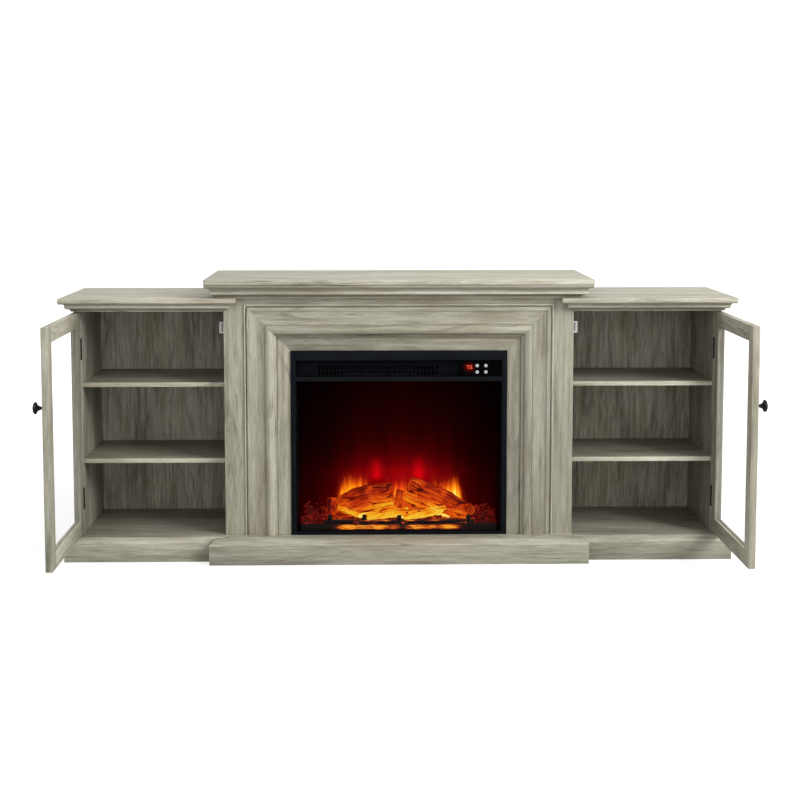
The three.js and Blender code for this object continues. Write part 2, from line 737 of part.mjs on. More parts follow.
// The insert's steel casing with its duct floor, blower brackets, intake slots and spindle bearings
function casing() {
  const deep = [atDepth(casingBack), atDepth(casingFront)];
  const shell = box([-casingHalf, casingHalf], deep, [casingBottom, casingTop]);
  const rearInside = atDepth(casingBack + casingWall);
  const frontOut = atDepth(casingFront + cutOverrun);
  const chamber = box([-chamberHalf, chamberHalf], [rearInside, frontOut], [chamberFloor, ductFloor]);
  const duct = box([-chamberHalf, chamberHalf], [rearInside, frontOut], [ductBottom, ductTop]);
  const body = cut(shell, chamber, duct);
  const brackets = bracketPlaces().map((x) =>
    box(
      [x - casingWall / 2, x + casingWall / 2],
      [atDepth(wheelDepth - bracketReach), atDepth(wheelDepth + bracketReach / 2)],
      [ductFloor + casingWall / 2, ductTop + casingWall / 2],
    ),
  );
  const along = (length, radius, depth, height) =>
    new THREE.CylinderGeometry(radius, radius, length, 16)
      .rotateZ(Math.PI / 2)
      .translate(0, atDepth(depth), height);
  const bore = along(wheelLength + 2 * bracketReach + centreHalf / 2, shaftRadius + shaftClearance, wheelDepth, ductMiddle);
  const wheelBore = bore.translate(grilleCentre, 0, 0);
  const spindleBore = along(2 * casingHalf + 2 * cutOverrun, shaftRadius + shaftClearance, spindleDepth, spindleHeight);
  const slots = Array.from({ length: intake.slots }, (_, step) => {
    const x = grilleCentre + (step - (intake.slots - 1) / 2) * intake.pitch;
    const half = intake.width / 2;
    return box(
      [x - half, x + half],
      [atDepth(casingBack - cutOverrun), atDepth(casingBack + casingWall + cutOverrun)],
      [ductMiddle - intake.height / 2, ductMiddle + intake.height / 2],
    );
  });
  return cut(join(body, ...brackets), wheelBore, spindleBore, ...slots);
}

function bracketPlaces() {
  const reach = wheelLength / 2 + shaftRadius + casingWall;
  return [grilleCentre - reach, grilleCentre + reach];
}

// The front bezel: one plate with the air slot above the window
function bezel() {
  const y = [atDepth(bezelBack), atDepth(bezelFront)];
  const cutY = [y[0] + cutOverrun, y[1] - cutOverrun];
  const bottom = floorTop + seatGap;
  const slot = box([-slotHalfWidth, slotHalfWidth], cutY, [slotBottom, slotTop]);
  const opening = box([-windowHalfWidth, windowHalfWidth], cutY, [bottom + windowBottomBar, windowTop]);
  return cut(box([-bezelHalfWidth, bezelHalfWidth], y, [bottom, bezelTop]), slot, opening);
}

function outletGrille() {
  const front = casingFront - grilleSetback;
  const y = [atDepth(front - grilleThickness), atDepth(front)];
  const z = [ductBottom + seatGap, ductTop - seatGap];
  const sheet = box([-chamberHalf + seatGap, panelLeft - seatGap], y, z);
  const slots = [];
  const slotMiddle = slotBottom + grilleSlotHeight + grilleSlotBar;
  for (const row of [-1, 1]) {
    for (let step = 0; step < grilleSlotCount; step += 1) {
      const x = grilleCentre + (step - (grilleSlotCount - 1) / 2) * grilleSlotPitch;
      const inner = slotMiddle + (row * grilleSlotBar) / 2;
      slots.push(box(
        [x - grilleSlotWidth / 2, x + grilleSlotWidth / 2],
        [y[0] + cutOverrun, y[1] - cutOverrun],
        [inner, inner + row * grilleSlotHeight],
      ));
    }
  }
  return cut(sheet, ...slots);
}

// Where the control panel stands, and a push button in one of its holes
const panelBack = glassFront - panelThickness;

function controlPanel() {
  const y = [atDepth(panelBack), atDepth(glassFront)];
  const plateBox = box([panelLeft, chamberHalf], y, [ductBottom + seatGap, casingTop - seatGap]);
  const holes = buttonPlaces().map(([x, z]) =>
    new THREE.CylinderGeometry(
      button.radius + button.clearance, button.radius + button.clearance, panelThickness + 2 * cutOverrun, 20,
    ).translate(x, atDepth(panelBack + panelThickness / 2), z));
  return cut(plateBox, ...holes);
}

function buttonPlaces() {
  return buttonRows.flatMap((drop) => buttonColumns.map((x) => [panelLeft + x, slotTop - drop]));
}

function pushButton() {
  const { radius, proud, collar, collarThickness } = button;
  const top = panelThickness + proud;
  const dome = radius * 0.75;
  const profile = [
    [0, -seatGap - collarThickness],
    [radius + collar, -seatGap - collarThickness],
    [radius + collar, -seatGap],
    [radius, -seatGap],
    [radius, top - proud / 3],
    [dome, top],
    [0, top],
  ];
  return turned(profile, 20).rotateX(Math.PI);
}

// The cross-flow wheel: end discs, a ring of blades and a shaft, along x
function blowerWheel() {
  const half = wheelLength / 2;
  const disc = (x) => new THREE.CylinderGeometry(wheelRadius, wheelRadius, wheelDiscThickness, 24)
    .rotateZ(Math.PI / 2).translate(x, 0, 0);
  const shaftHalf = half + shaftRadius + 2 * casingWall;
  const shaft = new THREE.CylinderGeometry(shaftRadius, shaftRadius, 2 * shaftHalf, 16).rotateZ(Math.PI / 2);
  const inset = wheelDiscThickness / 2;
  const blades = Array.from({ length: wheelBladeCount }, (_, step) => {
    const blade = box(
      [-half + inset, half - inset],
      [-wheelBlade.thickness / 2, wheelBlade.thickness / 2],
      [wheelRadius - wheelBlade.depth - inset, wheelRadius - inset],
    );
    return blade.rotateX((2 * Math.PI * step) / wheelBladeCount);
  });
  return join(shaft, disc(-half + inset), disc(half - inset), disc(0), ...blades)
    .translate(grilleCentre, atDepth(wheelDepth), ductMiddle);
}

// A finned heating block in front of the blower wheel
function heaterElement() {
  const front = casingFront - grilleSetback - grilleThickness - heaterGap;
  const y = [atDepth(front - heater.thickness), atDepth(front)];
  const z = [ductBottom + seatGap, slotTop];
  const half = heater.length / 2;
  const fins = [];
  for (let x = -half; x + heater.fin <= half; x += heater.finPitch) {
    fins.push(box([x, x + heater.fin], y, z));
  }
  const cores = [z[0] + heater.core / 2, (z[0] + z[1]) / 2, z[1] - heater.core / 2].map((height) =>
    box([-half, half], [y[0] - heater.core, y[1] + heater.core], [height - heater.core / 2, height + heater.core / 2]));
  return join(...cores, ...fins).translate(grilleCentre, 0, 0);
}

// The flame-effect spindle: reflective star wheels along a shaft
function flickerSpindle() {
  const shaftHalf = casingHalf - shaftClearance;
  const shaft = new THREE.CylinderGeometry(shaftRadius, shaftRadius, 2 * shaftHalf, 12).rotateZ(Math.PI / 2);
  const span = 2 * (chamberHalf - spindle.bladeLength);
  const blades = [];
  for (let star = 0; star < spindle.stars; star += 1) {
    const x = (star / (spindle.stars - 1) - 0.5) * span;
    for (let step = 0; step < spindle.blades; step += 1) {
      const blade = box(
        [-spindle.bladeLength / 2, spindle.bladeLength / 2],
        [-spindle.bladeThickness / 2, spindle.bladeThickness / 2],
        [0, spindle.bladeReach],
      );
      const turn = (2 * Math.PI * (step + star / spindle.stars)) / spindle.blades;
      blades.push(blade.rotateX(turn).translate(x, 0, 0));
    }
  }
  return join(shaft, ...blades).translate(0, atDepth(spindleDepth), spindleHeight);
}

// Logs on a heap of embers, moulded as one piece
function logSet() {
  const half = chamberHalf - bedMargin;
  const rear = screenDepth + screenThickness + bedMargin;
  const front = casingFront - bedMargin;
  const base = chamberFloor + seatGap;
  const bedDepth = front - rear;
  const place = (x, depth, z) =>
    new THREE.Vector3(2 * half * x, atDepth(rear + depth * bedDepth), base + z * pileHeight);
  const bed = box([-half, half], [atDepth(rear), atDepth(front)], [base, base + emberBedHeight]);

  const rightHeap = heapShares.map(([x, z]) => new THREE.Vector2(x * half, z * pileHeight));
  const leftHeap = rightHeap.slice(1).reverse().map(({ x, y }) => new THREE.Vector2(-x, y));
  const heapShape = new THREE.Shape([...leftHeap, ...rightHeap]);
  const heap = new THREE.ExtrudeGeometry(heapShape, { depth: heapDepthShare * bedDepth, bevelEnabled: false })
    .rotateX(Math.PI / 2).translate(0, atDepth(rear), base);

  const logs = logShares.map(({ from, to, radiusShares }) => {
    const [start, end] = [place(...from), place(...to)];
    const [startRadius, endRadius] = radiusShares.map((share) => share * pileHeight);
    const log = new THREE.CylinderGeometry(endRadius, startRadius, start.distanceTo(end), 12);
    const along = end.clone().sub(start).normalize();
    const turn = new THREE.Quaternion().setFromUnitVectors(new THREE.Vector3(0, 1, 0), along);
    const middle = start.clone().lerp(end, 0.5);
    return log.applyQuaternion(turn).translate(middle.x, middle.y, middle.z);
  });

  const lumps = emberRows.flatMap(({ depth, rise, count }) =>
    Array.from({ length: count }, (_, step) => {
      const radius = emberRadiusShare * pileHeight * (1 + 0.2 * Math.sin(step * 2.4));
      const middle = place(((step + 0.5) / count - 0.5) * 0.95, depth, rise);
      return new THREE.IcosahedronGeometry(radius, 1).translate(middle.x, middle.y, middle.z);
    }));
  const room = box([-half, half], [atDepth(rear), atDepth(front)], [base, base + 2 * pileHeight]);
  const pile = solid(join(bed, heap, ...logs, ...lumps)).intersect(solid(room));
  return toGeometry(withoutCavities(pile));
}

function cordGland() {
  const { side, rise, flangeRadius, flange, bodyRadius, length, boreRadius } = gland;
  const profile = [
    [boreRadius, 0],
    [flangeRadius, 0],
    [flangeRadius, flange],
    [bodyRadius, flange],
    [bodyRadius, length],
    [boreRadius, length],
    [boreRadius, 0],
  ];
  return turned(profile, 20).translate(-side, atDepth(casingBack - seatGap), chamberFloor + rise);
}

function addInsert() {
  addMesh("firebox_casing", casing(), blackMetal());
  addMesh("firebox_bezel", bezel(), blackMetal());
  const glass = box(
    [-windowHalfWidth - glassLap, windowHalfWidth + glassLap],
    [atDepth(glassBack), atDepth(glassFront)],
    [floorTop + windowBottomBar - glassLap, windowTop + glassLap],
  );
  addMesh("window_glass", glass, clearGlass());
  addMesh("outlet_grille", outletGrille(), blackMetal());
  addMesh("control_panel", controlPanel(), glossBlack());
  buttonPlaces().forEach(([x, z], step) => {
    const cap = pushButton().translate(x, atDepth(panelBack), z);
    addMesh(`push_button_${step + 1}`, cap, finish("white plastic", 0xf0f0ee, 0.3, 0));
  });
  addMesh("blower_wheel", blowerWheel(), finish("aluminium", 0xb8babd, 0.4, 0.9));
  addMesh("heater_element", heaterElement(), finish("aluminium", 0x9a9c9e, 0.5, 0.9));
  const screen = box(
    [-chamberHalf + seatGap, chamberHalf - seatGap],
    [atDepth(screenDepth), atDepth(screenDepth + screenThickness)],
    [chamberFloor + seatGap, ductFloor - seatGap],
  );
  addMesh("flame_screen", screen, finish("flame screen", 0x4a0603, 0.5, 0));
  addMesh("flicker_spindle", flickerSpindle(), finish("aluminium", 0xc4c6c8, 0.3, 0.9));
  addMesh("log_set", logSet(), finish("glowing logs", 0xc85a18, 0.8, 0));
  addMesh("cord_gland", cordGland(), finish("black plastic", 0x1a1a1c, 0.5, 0));
}

addMantel();
addSurround();
addCentreBase();
addCabinets();
addCabinetLeaves();
addCatches();
addDoors();
addInsert();

export default model;
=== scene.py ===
"""Looks of an electric fireplace TV stand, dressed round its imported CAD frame."""

import logging
import random
from dataclasses import dataclass
from enum import Enum
from math import atan2, cos, hypot, pi, radians, sin
from typing import Any, Callable, Optional, Union

import bpy
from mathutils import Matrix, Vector


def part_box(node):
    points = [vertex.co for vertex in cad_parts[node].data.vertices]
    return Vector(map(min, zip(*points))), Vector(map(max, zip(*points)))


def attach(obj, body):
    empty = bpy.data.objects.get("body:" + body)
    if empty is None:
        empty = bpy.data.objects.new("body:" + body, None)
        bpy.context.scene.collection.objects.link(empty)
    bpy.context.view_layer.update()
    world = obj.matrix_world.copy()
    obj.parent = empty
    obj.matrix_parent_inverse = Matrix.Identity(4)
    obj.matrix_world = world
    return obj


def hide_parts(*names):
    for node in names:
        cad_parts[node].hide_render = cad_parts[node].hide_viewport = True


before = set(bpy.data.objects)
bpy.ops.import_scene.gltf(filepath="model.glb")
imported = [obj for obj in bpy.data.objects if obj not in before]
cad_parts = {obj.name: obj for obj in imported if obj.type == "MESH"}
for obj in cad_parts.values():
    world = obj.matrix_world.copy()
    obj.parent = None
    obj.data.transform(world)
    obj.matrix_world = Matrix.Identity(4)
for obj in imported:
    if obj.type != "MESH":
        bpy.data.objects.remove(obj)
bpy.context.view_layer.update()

LOG = logging.getLogger("fireplace_stand")
MM = 0.001
WALL_Y = 194.0
SIDES = {"left": -1, "right": 1}
FACING = 0.9
SLACK = 0.0001
Colour = tuple[float, float, float, float]
Point = tuple[float, float, float]
BLACK: Colour = (0, 0, 0, 1)
WHITE: Colour = (1, 1, 1, 1)


def place(x: float, depth: float, z: float) -> Vector:
    """Turns a place in millimetres, with its depth from the wall, into the frame's metres."""
    return Vector((x * MM, (WALL_Y - depth) * MM, z * MM))


def paint(red: float, green: float, blue: float, tone: float = 1.0) -> Colour:
    """Turns a colour as a screen shows it, 0 to 255, into linear light.

    Args:
        red, green, blue: The colour's parts.
        tone: What the linear light is multiplied by.

    Returns:
        The linear colour with an opaque alpha.
    """
    parts = [value / 255.0 for value in (red, green, blue)]
    linear = [v / 12.92 if v <= 0.04045 else ((v + 0.055) / 1.055) ** 2.4 for v in parts]
    return (linear[0] * tone, linear[1] * tone, linear[2] * tone, 1.0)


class Grain(Enum):
    """The axis of the frame that a board's grain runs along."""

    ACROSS = 0
    DEEP = 1
    UPRIGHT = 2


class Wire:
    """A value or colour on its way between shader nodes, which takes part in arithmetic."""

    def __init__(self, shader: "Shader", socket: bpy.types.NodeSocket) -> None:
        """Keeps the socket and the shader that it belongs to."""
        self.shader = shader
        self.socket = socket

    def __add__(self, other: "Term") -> "Wire":
        """Adds."""
        return self.shader.maths("ADD", self, other)

    __radd__ = __add__

    def __mul__(self, other: "Term") -> "Wire":
        """Multiplies."""
        return self.shader.maths("MULTIPLY", self, other)

    __rmul__ = __mul__

    def __sub__(self, other: "Term") -> "Wire":
        """Subtracts."""
        return self.shader.maths("SUBTRACT", self, other)

    def __rsub__(self, other: "Term") -> "Wire":
        """Subtracts this from a number."""
        return self.shader.maths("SUBTRACT", other, self)

    def __truediv__(self, other: "Term") -> "Wire":
        """Divides."""
        return self.shader.maths("DIVIDE", self, other)

    def __abs__(self) -> "Wire":
        """Drops the sign."""
        return self.shader.maths("ABSOLUTE", self)


Term = Union[Wire, float]


class Shader:
    """The node tree of one material or world, with the calls that fill it."""

    def __init__(self, owner: Union[bpy.types.Material, bpy.types.World]) -> None:
        """Empties the owner's node tree.

        Args:
            owner: The new material or world.
        """
        owner.use_nodes = True
        self.owner = owner
        self.tree = owner.node_tree
        self.tree.nodes.clear()

    @classmethod
    def of_material(cls, name: str) -> "Shader":
        """Starts a new material."""
        return cls(bpy.data.materials.new(name))

    def add(
        self,
        kind: str,
        settings: Optional[dict[str, Any]] = None,
        inputs: Optional[dict[Any, Any]] = None,
    ) -> bpy.types.Node:
        """Adds a node.

        Args:
            kind: The node's type.
            settings: Its own settings; "stops" gives a ramp's positions and colours.
            inputs: Values or wires of its sockets.

        Returns:
            The node.
        """
        made = self.tree.nodes.new(kind)
        for key, value in (settings or {}).items():
            if key == "stops":
                elements = made.color_ramp.elements
                while len(elements) < len(value):
                    elements.new(0.5)
                for element, (position, colour) in zip(elements, value):
                    element.position = position
                    element.color = colour
            else:
                setattr(made, key, value)
        for key, value in (inputs or {}).items():
            if isinstance(value, Wire):
                self.tree.links.new(value.socket, made.inputs[key])
            else:
                made.inputs[key].default_value = value
        return made

    def node(
        self,
        kind: str,
        settings: Optional[dict[str, Any]] = None,
        inputs: Optional[dict[Any, Any]] = None,
        output: Any = 0,
    ) -> Wire:
        """Adds a node and hands back one of its outputs."""
        return Wire(self, self.add(kind, settings, inputs).outputs[output])

    def maths(self, operation: str, first: Term, second: Term = 0.0) -> Wire:
        """Adds a Math node for numbers."""
        return self.node("ShaderNodeMath", {"operation": operation}, {0: first, 1: second})

    def vector(self, operation: str, first: Any, second: Any) -> Wire:
        """Adds a Vector Math node."""
        return self.node("ShaderNodeVectorMath", {"operation": operation}, {0: first, 1: second})

    def mix(self, share: Term, first: Any, second: Any, blend: str = "MIX") -> Wire:
        """Mixes two colours by a share of the second."""
        settings = {"data_type": "RGBA", "blend_type": blend}
        return self.node("ShaderNodeMix", settings, {0: share, 6: first, 7: second}, 2)

    def step(
        self, value: Wire, low: float, high: float, start: float = 0.0, end: float = 1.0
    ) -> Wire:
        """Turns a range of a value smoothly into another range.

        Args:
            value: What is read.
            low, high: The range that is read.
            start, end: What its two ends become.

        Returns:
            The clamped result.
        """
        settings = {"interpolation_type": "SMOOTHSTEP", "clamp": True}
        inputs = {
            "Value": value, "From Min": low, "From Max": high, "To Min": start, "To Max": end
        }
        return self.node("ShaderNodeMapRange", settings, inputs)

    def hump(self, off: Wire) -> Wire:
        """A bell curve: 1 where a distance is 0, and falling off by its square."""
        return self.maths("EXPONENT", off * off * -1.0)

    def fade(self, value: Wire, start: float, rate: float) -> Wire:
        """A curve that is 1 where a value is at its start, and falls off at a rate above it."""
        return self.maths("EXPONENT", (value - start) * -rate)

    def ramp(self, share: Wire, *stops: tuple[float, Colour]) -> Wire:
        """Adds a colour ramp."""
        return self.node("ShaderNodeValToRGB", {"stops": stops}, {0: share})

    def here(self) -> Wire:
        """The point that is shaded, in the frame's metres."""
        return self.node("ShaderNodeTexCoord", output="Object")

    def parts(self, point: Wire) -> tuple[Wire, Wire, Wire]:
        """A point's x, y and z."""
        made = self.add("ShaderNodeSeparateXYZ", inputs={0: point})
        return Wire(self, made.outputs[0]), Wire(self, made.outputs[1]), Wire(self, made.outputs[2])

    def mapped(
        self, point: Wire, scale: Point, shift: Point = (0, 0, 0), turn: Point = (0, 0, 0)
    ) -> Wire:
        """Stretches, moves and turns a pattern's coordinates."""
        inputs = {"Vector": point, "Location": shift, "Rotation": turn, "Scale": scale}
        return self.node("ShaderNodeMapping", inputs=inputs)

    def noise(
        self,
        point: Wire,
        detail: float = 2.0,
        rough: float = 0.5,
        scale: float = 1.0,
        output: Any = 0,
    ) -> Wire:
        """Adds a noise texture."""
        inputs = {"Vector": point, "Scale": scale, "Detail": detail, "Roughness": rough}
        return self.node("ShaderNodeTexNoise", {"noise_dimensions": "3D"}, inputs, output)

    def bump(self, height: Wire, strength: float, distance: float) -> Wire:
        """Turns a height into a bent normal."""
        inputs = {"Height": height, "Strength": strength, "Distance": distance}
        return self.node("ShaderNodeBump", inputs=inputs)

    def finish(self, inputs: dict[str, Any]) -> bpy.types.Material:
        """Adds the surface shader and the output.

        Args:
            inputs: Values or wires of the surface shader's sockets.

        Returns:
            The finished material.
        """
        surface = self.node("ShaderNodeBsdfPrincipled", inputs=inputs)
        self.add("ShaderNodeOutputMaterial", inputs={"Surface": surface})
        return self.owner


@dataclass(frozen=True)
class WeatheredWood:
    """Printed oak laminate in a weathered grey, with its grain along one axis.

    Attributes:
        name: The material's name.
        grain: The axis that the grain runs along.
        tone: How light the board is against the outer ones; lighter copies are painted highlights
            and darker copies painted shade.
        contrast: How strong its streaks are.
        shift: How far its pattern is moved, so that two boards differ.
        light, middle, dark: The streaks' colours, 0 to 255.
        brown, vein, line: The colours of stains, of brown veins and of growth lines and cracks.
        reach: How far round the middle the streaks' ramp reaches, at a contrast of 1.
        wander: How far the grain sways, in metres.
    """

    name: str
    grain: Grain
    tone: float = 1.0
    contrast: float = 1.0
    shift: float = 0.0
    light: Point = (212, 209, 193)
    middle: Point = (181, 178, 160)
    dark: Point = (143, 140, 121)
    brown: Point = (158, 141, 120)
    vein: Point = (136, 118, 96)
    line: Point = (100, 94, 78)
    reach: float = 0.17
    wander: float = 0.008

    # For each layer its features per metre along and across the grain, its detail and roughness.
    LAYERS = {
        "cloud": (2.2, 12.0, 2.0, 0.5),
        "streak": (7.0, 110.0, 4.0, 0.66),
        "brush": (26.0, 440.0, 3.0, 0.65),
        "fibre": (100.0, 1100.0, 2.0, 0.6),
        "ring": (1.2, 10.0, 1.2, 0.4),
        "tick": (15.0, 330.0, 2.0, 0.6),
        "vein": (3.2, 46.0, 2.0, 0.5),
        "patch": (3.4, 15.0, 2.0, 0.5),
        "stain": (3.0, 20.0, 3.0, 0.6),
    }
    SWAY = (2.0, 6.0)
    RINGS_PER_LAYER = 66.0

    def _scale(self, along: float, across: float) -> Point:
        """One scale along the grain and another across it."""
        axes = [Grain.ACROSS, Grain.DEEP, Grain.UPRIGHT]
        return tuple(along if axis is self.grain else across for axis in axes)

    def _shade(self, colour: Point) -> Colour:
        """A colour in the board's own tone."""
        return paint(*colour, tone=self.tone)

    def _layer(self, shader: Shader, point: Wire, kind: str) -> Wire:
        """Adds a layer of noise that is drawn out along the grain.

        Args:
            shader: The shader that it belongs to.
            point: The place that is shaded.
            kind: Its name in LAYERS.

        Returns:
            The noise.
        """
        along, across, detail, rough = self.LAYERS[kind]
        shift = (across + self.shift, along, 0.37 * across)
        drawn_out = shader.mapped(point, self._scale(along, across), shift)
        return shader.noise(drawn_out, detail, rough)

    def material(self) -> bpy.types.Material:
        """Builds the streaks, fibres, growth lines, cracks and stains.

        Returns:
            The laminate's material.
        """
        shader = Shader.of_material(self.name)
        here = shader.here()
        sway = shader.noise(shader.mapped(here, self._scale(*self.SWAY)), 1.0, output=1)
        point = shader.vector("ADD", here, shader.vector("MULTIPLY", sway, (self.wander,) * 3))
        layer = {kind: self._layer(shader, point, kind) for kind in self.LAYERS}
        streak, brush, fibre = layer["streak"], layer["brush"], layer["fibre"]

        tone = streak * 0.5 + brush * 0.34 + fibre * 0.16 + (layer["cloud"] - 0.5) * 0.36
        reach = self.reach / self.contrast
        stops = (
            (0.5 - reach, self._shade(self.dark)),
            (0.5, self._shade(self.middle)),
            (0.5 + reach, self._shade(self.light)),
        )
        colour = shader.ramp(tone, *stops)
        stains = shader.step(layer["stain"], 0.50, 0.74, 0.0, 0.42)
        colour = shader.mix(stains, colour, self._shade(self.brown))
        veins = shader.step(layer["vein"], 0.60, 0.74, 0.0, 0.42)
        colour = shader.mix(veins, colour, self._shade(self.vein))
        waves = shader.maths("SINE", layer["ring"] * self.RINGS_PER_LAYER)
        rings = shader.step(waves, 0.62, 1.0) * shader.step(layer["patch"], 0.46, 0.62, 0.04, 0.34)
        colour = shader.mix(rings, colour, self._shade(self.line))
        cracks = shader.step(layer["tick"], 0.58, 0.70)
        cracks = cracks * shader.step(layer["patch"], 0.44, 0.62, 0.15, 0.75)
        colour = shader.mix(cracks, colour, self._shade(self.line))

        height = streak * 0.4 + brush * 0.4 + fibre * 0.3 - rings * 0.3 - cracks * 0.8
        return shader.finish(
            {
                "Base Color": colour,
                "Roughness": shader.step(streak, 0.3, 0.7, 0.58, 0.46),
                "Normal": shader.bump(height, 0.35, 0.0006),
                "Specular IOR Level": 0.25,
            }
        )


@dataclass(frozen=True)
class PaintedSteel:
    """Satin powder coat with its fine orange peel and dust.

    Attributes:
        name: The material's name.
        colour: Its colour, 0 to 255.
        roughness, specular: How dull it is, and how strongly it mirrors.
        peel: How fine the peel is, in lumps per metre.
        hull: Two corners between which a thin-walled box is nearly black on its inner faces, in
            metres.
        inside_colour: The colour of those inner faces, 0 to 255.
    """

    name: str
    colour: Point = (25, 28, 31)
    roughness: float = 0.42
    specular: float = 0.12
    peel: float = 1400.0
    hull: Optional[tuple[Vector, Vector]] = None
    inside_colour: Point = (4, 4, 5)

    def material(self) -> bpy.types.Material:
        """Builds the coat.

        Returns:
            The coat's material.
        """
        shader = Shader.of_material(self.name)
        here = shader.here()
        peel = shader.noise(here, 2.0, 0.5, self.peel)
        haze = shader.noise(here, 3.0, 0.55, 14.0)
        low, high = paint(*self.colour, tone=0.82), paint(*self.colour, tone=1.22)
        colour = shader.ramp(haze, (0.32, low), (0.68, high))
        # Inside the hull the coat turns nearly black.
        if self.hull:
            colour = shader.mix(self._inside(shader, here), colour, paint(*self.inside_colour))
        dull, duller = self.roughness - 0.06, self.roughness + 0.08
        return shader.finish(
            {
                "Base Color": colour,
                "Roughness": shader.step(haze, 0.3, 0.7, dull, duller),
                "Normal": shader.bump(peel, 0.12, 0.0003),
                "Specular IOR Level": self.specular,
            }
        )

    def _inside(self, shader: Shader, here: Wire) -> Wire:
        """Tells the walls' inner faces from their outer ones.

        Args:
            shader: The shader that it belongs to.
            here: The place that is shaded.

        Returns:
            1 on the inner faces and 0 on the outer ones.
        """
        low, high = self.hull
        x, y, z = shader.parts(here)
        share = shader.maths("LESS_THAN", abs(x), high.x)
        for value, start, end in ((y, low.y, high.y), (z, low.z, high.z)):
            share = share * shader.maths("GREATER_THAN", value, start)
            share = share * shader.maths("LESS_THAN", value, end)
        return share


@dataclass(frozen=True)
class GlossPanel:
    """Piano-black acrylic with the display's red light spread in it.

    Attributes:
        name: The material's name.
        centre: The middle of the display, as x and height in millimetres.
        spread: How far its light spreads sideways and upwards, in millimetres.
        glow: The colour of the light, 0 to 255.
    """

    name: str
    centre: tuple[float, float] = (185.5, 513.0)
    spread: tuple[float, float] = (15.0, 12.0)
    glow: Point = (132, 12, 5)

    def material(self) -> bpy.types.Material:
        """Builds the acrylic, its smudges and the halo.

        Returns:
            The panel's material.
        """
        shader = Shader.of_material(self.name)
        here = shader.here()
        x, _, z = shader.parts(here)
        across = (x - self.centre[0] * MM) / (self.spread[0] * MM)
        up = (z - self.centre[1] * MM) / (self.spread[1] * MM)
        halo = shader.maths("EXPONENT", (across * across + up * up) * -2.6)
        smudge = shader.noise(here, 3.0, 0.6, 30.0)
        return shader.finish(
            {
                "Base Color": paint(2, 2, 3),
                "Roughness": shader.step(smudge, 0.35, 0.75, 0.10, 0.24),
                "Specular IOR Level": 0.03,
                "Emission Color": shader.mix(halo, BLACK, paint(*self.glow)),
                "Emission Strength": 1.0,
            }
        )


@dataclass(frozen=True)
class ClearGlass:
    """Thin clear glass that shows mainly at its edges and at a slant.

    Attributes:
        name: The material's name.
        tint: Its colour, 0 to 255.
        least, most: How much it covers, seen straight on and at a slant.
        specular: How strongly it mirrors.
    """

    name: str
    tint: Point = (196, 208, 202)
    least: float = 0.02
    most: float = 0.10
    specular: float = 0.3

    def material(self) -> bpy.types.Material:
        """Builds the glass.

        Returns:
            The glass's material.
        """
        shader = Shader.of_material(self.name)
        slant = shader.node("ShaderNodeLayerWeight", inputs={"Blend": 0.25}, output="Facing")
        dust = shader.noise(shader.here(), 3.0, 0.6, 26.0)
        return shader.finish(
            {
                "Base Color": paint(*self.tint),
                "Roughness": shader.step(dust, 0.3, 0.8, 0.02, 0.07),
                "Alpha": shader.step(slant, 0.2, 1.0, self.least, self.most),
                "Specular IOR Level": self.specular,
            }
        )


@dataclass(frozen=True)
class MouldedPlastic:
    """Moulded plastic with a faint spark-eroded texture.

    Attributes:
        name: The material's name.
        colour: Its colour, 0 to 255.
        roughness, specular: How dull it is, and how strongly it mirrors.
    """

    name: str
    colour: Point
    roughness: float = 0.38
    specular: float = 0.4

    def material(self) -> bpy.types.Material:
        """Builds the plastic.

        Returns:
            The plastic's material.
        """
        shader = Shader.of_material(self.name)
        here = shader.here()
        grit = shader.noise(here, 2.0, 0.6, 2600.0)
        cloud = shader.noise(here, 2.0, 0.5, 45.0)
        low, high = paint(*self.colour, tone=0.9), paint(*self.colour, tone=1.06)
        dull, duller = self.roughness - 0.05, self.roughness + 0.07
        return shader.finish(
            {
                "Base Color": shader.ramp(cloud, (0.3, low), (0.7, high)),
                "Roughness": shader.step(grit, 0.3, 0.7, dull, duller),
                "Normal": shader.bump(grit, 0.15, 0.0002),
                "Specular IOR Level": self.specular,
            }
        )


@dataclass(frozen=True)
class BrushedMetal:
    """Bare metal brushed along the width of the stand.

    Attributes:
        name: The material's name.
        colour: Its colour, 0 to 255.
        roughness: How dull it is.
    """

    name: str
    colour: Point = (188, 190, 192)
    roughness: float = 0.32

    def material(self) -> bpy.types.Material:
        """Builds the metal.

        Returns:
            The metal's material.
        """
        shader = Shader.of_material(self.name)
        here = shader.here()
        brush = shader.noise(shader.mapped(here, (18.0, 1500.0, 1500.0)), 3.0, 0.6)
        blotch = shader.noise(here, 3.0, 0.55, 38.0)
        low, high = paint(*self.colour, tone=0.72), paint(*self.colour)
        dull, duller = self.roughness - 0.07, self.roughness + 0.1
        return shader.finish(
            {
                "Base Color": shader.ramp(brush * 0.6 + blotch * 0.4, (0.32, low), (0.66, high)),
                "Metallic": 1.0,
                "Roughness": shader.step(brush, 0.3, 0.7, dull, duller),
                "Normal": shader.bump(brush, 0.1, 0.0002),
            }
        )


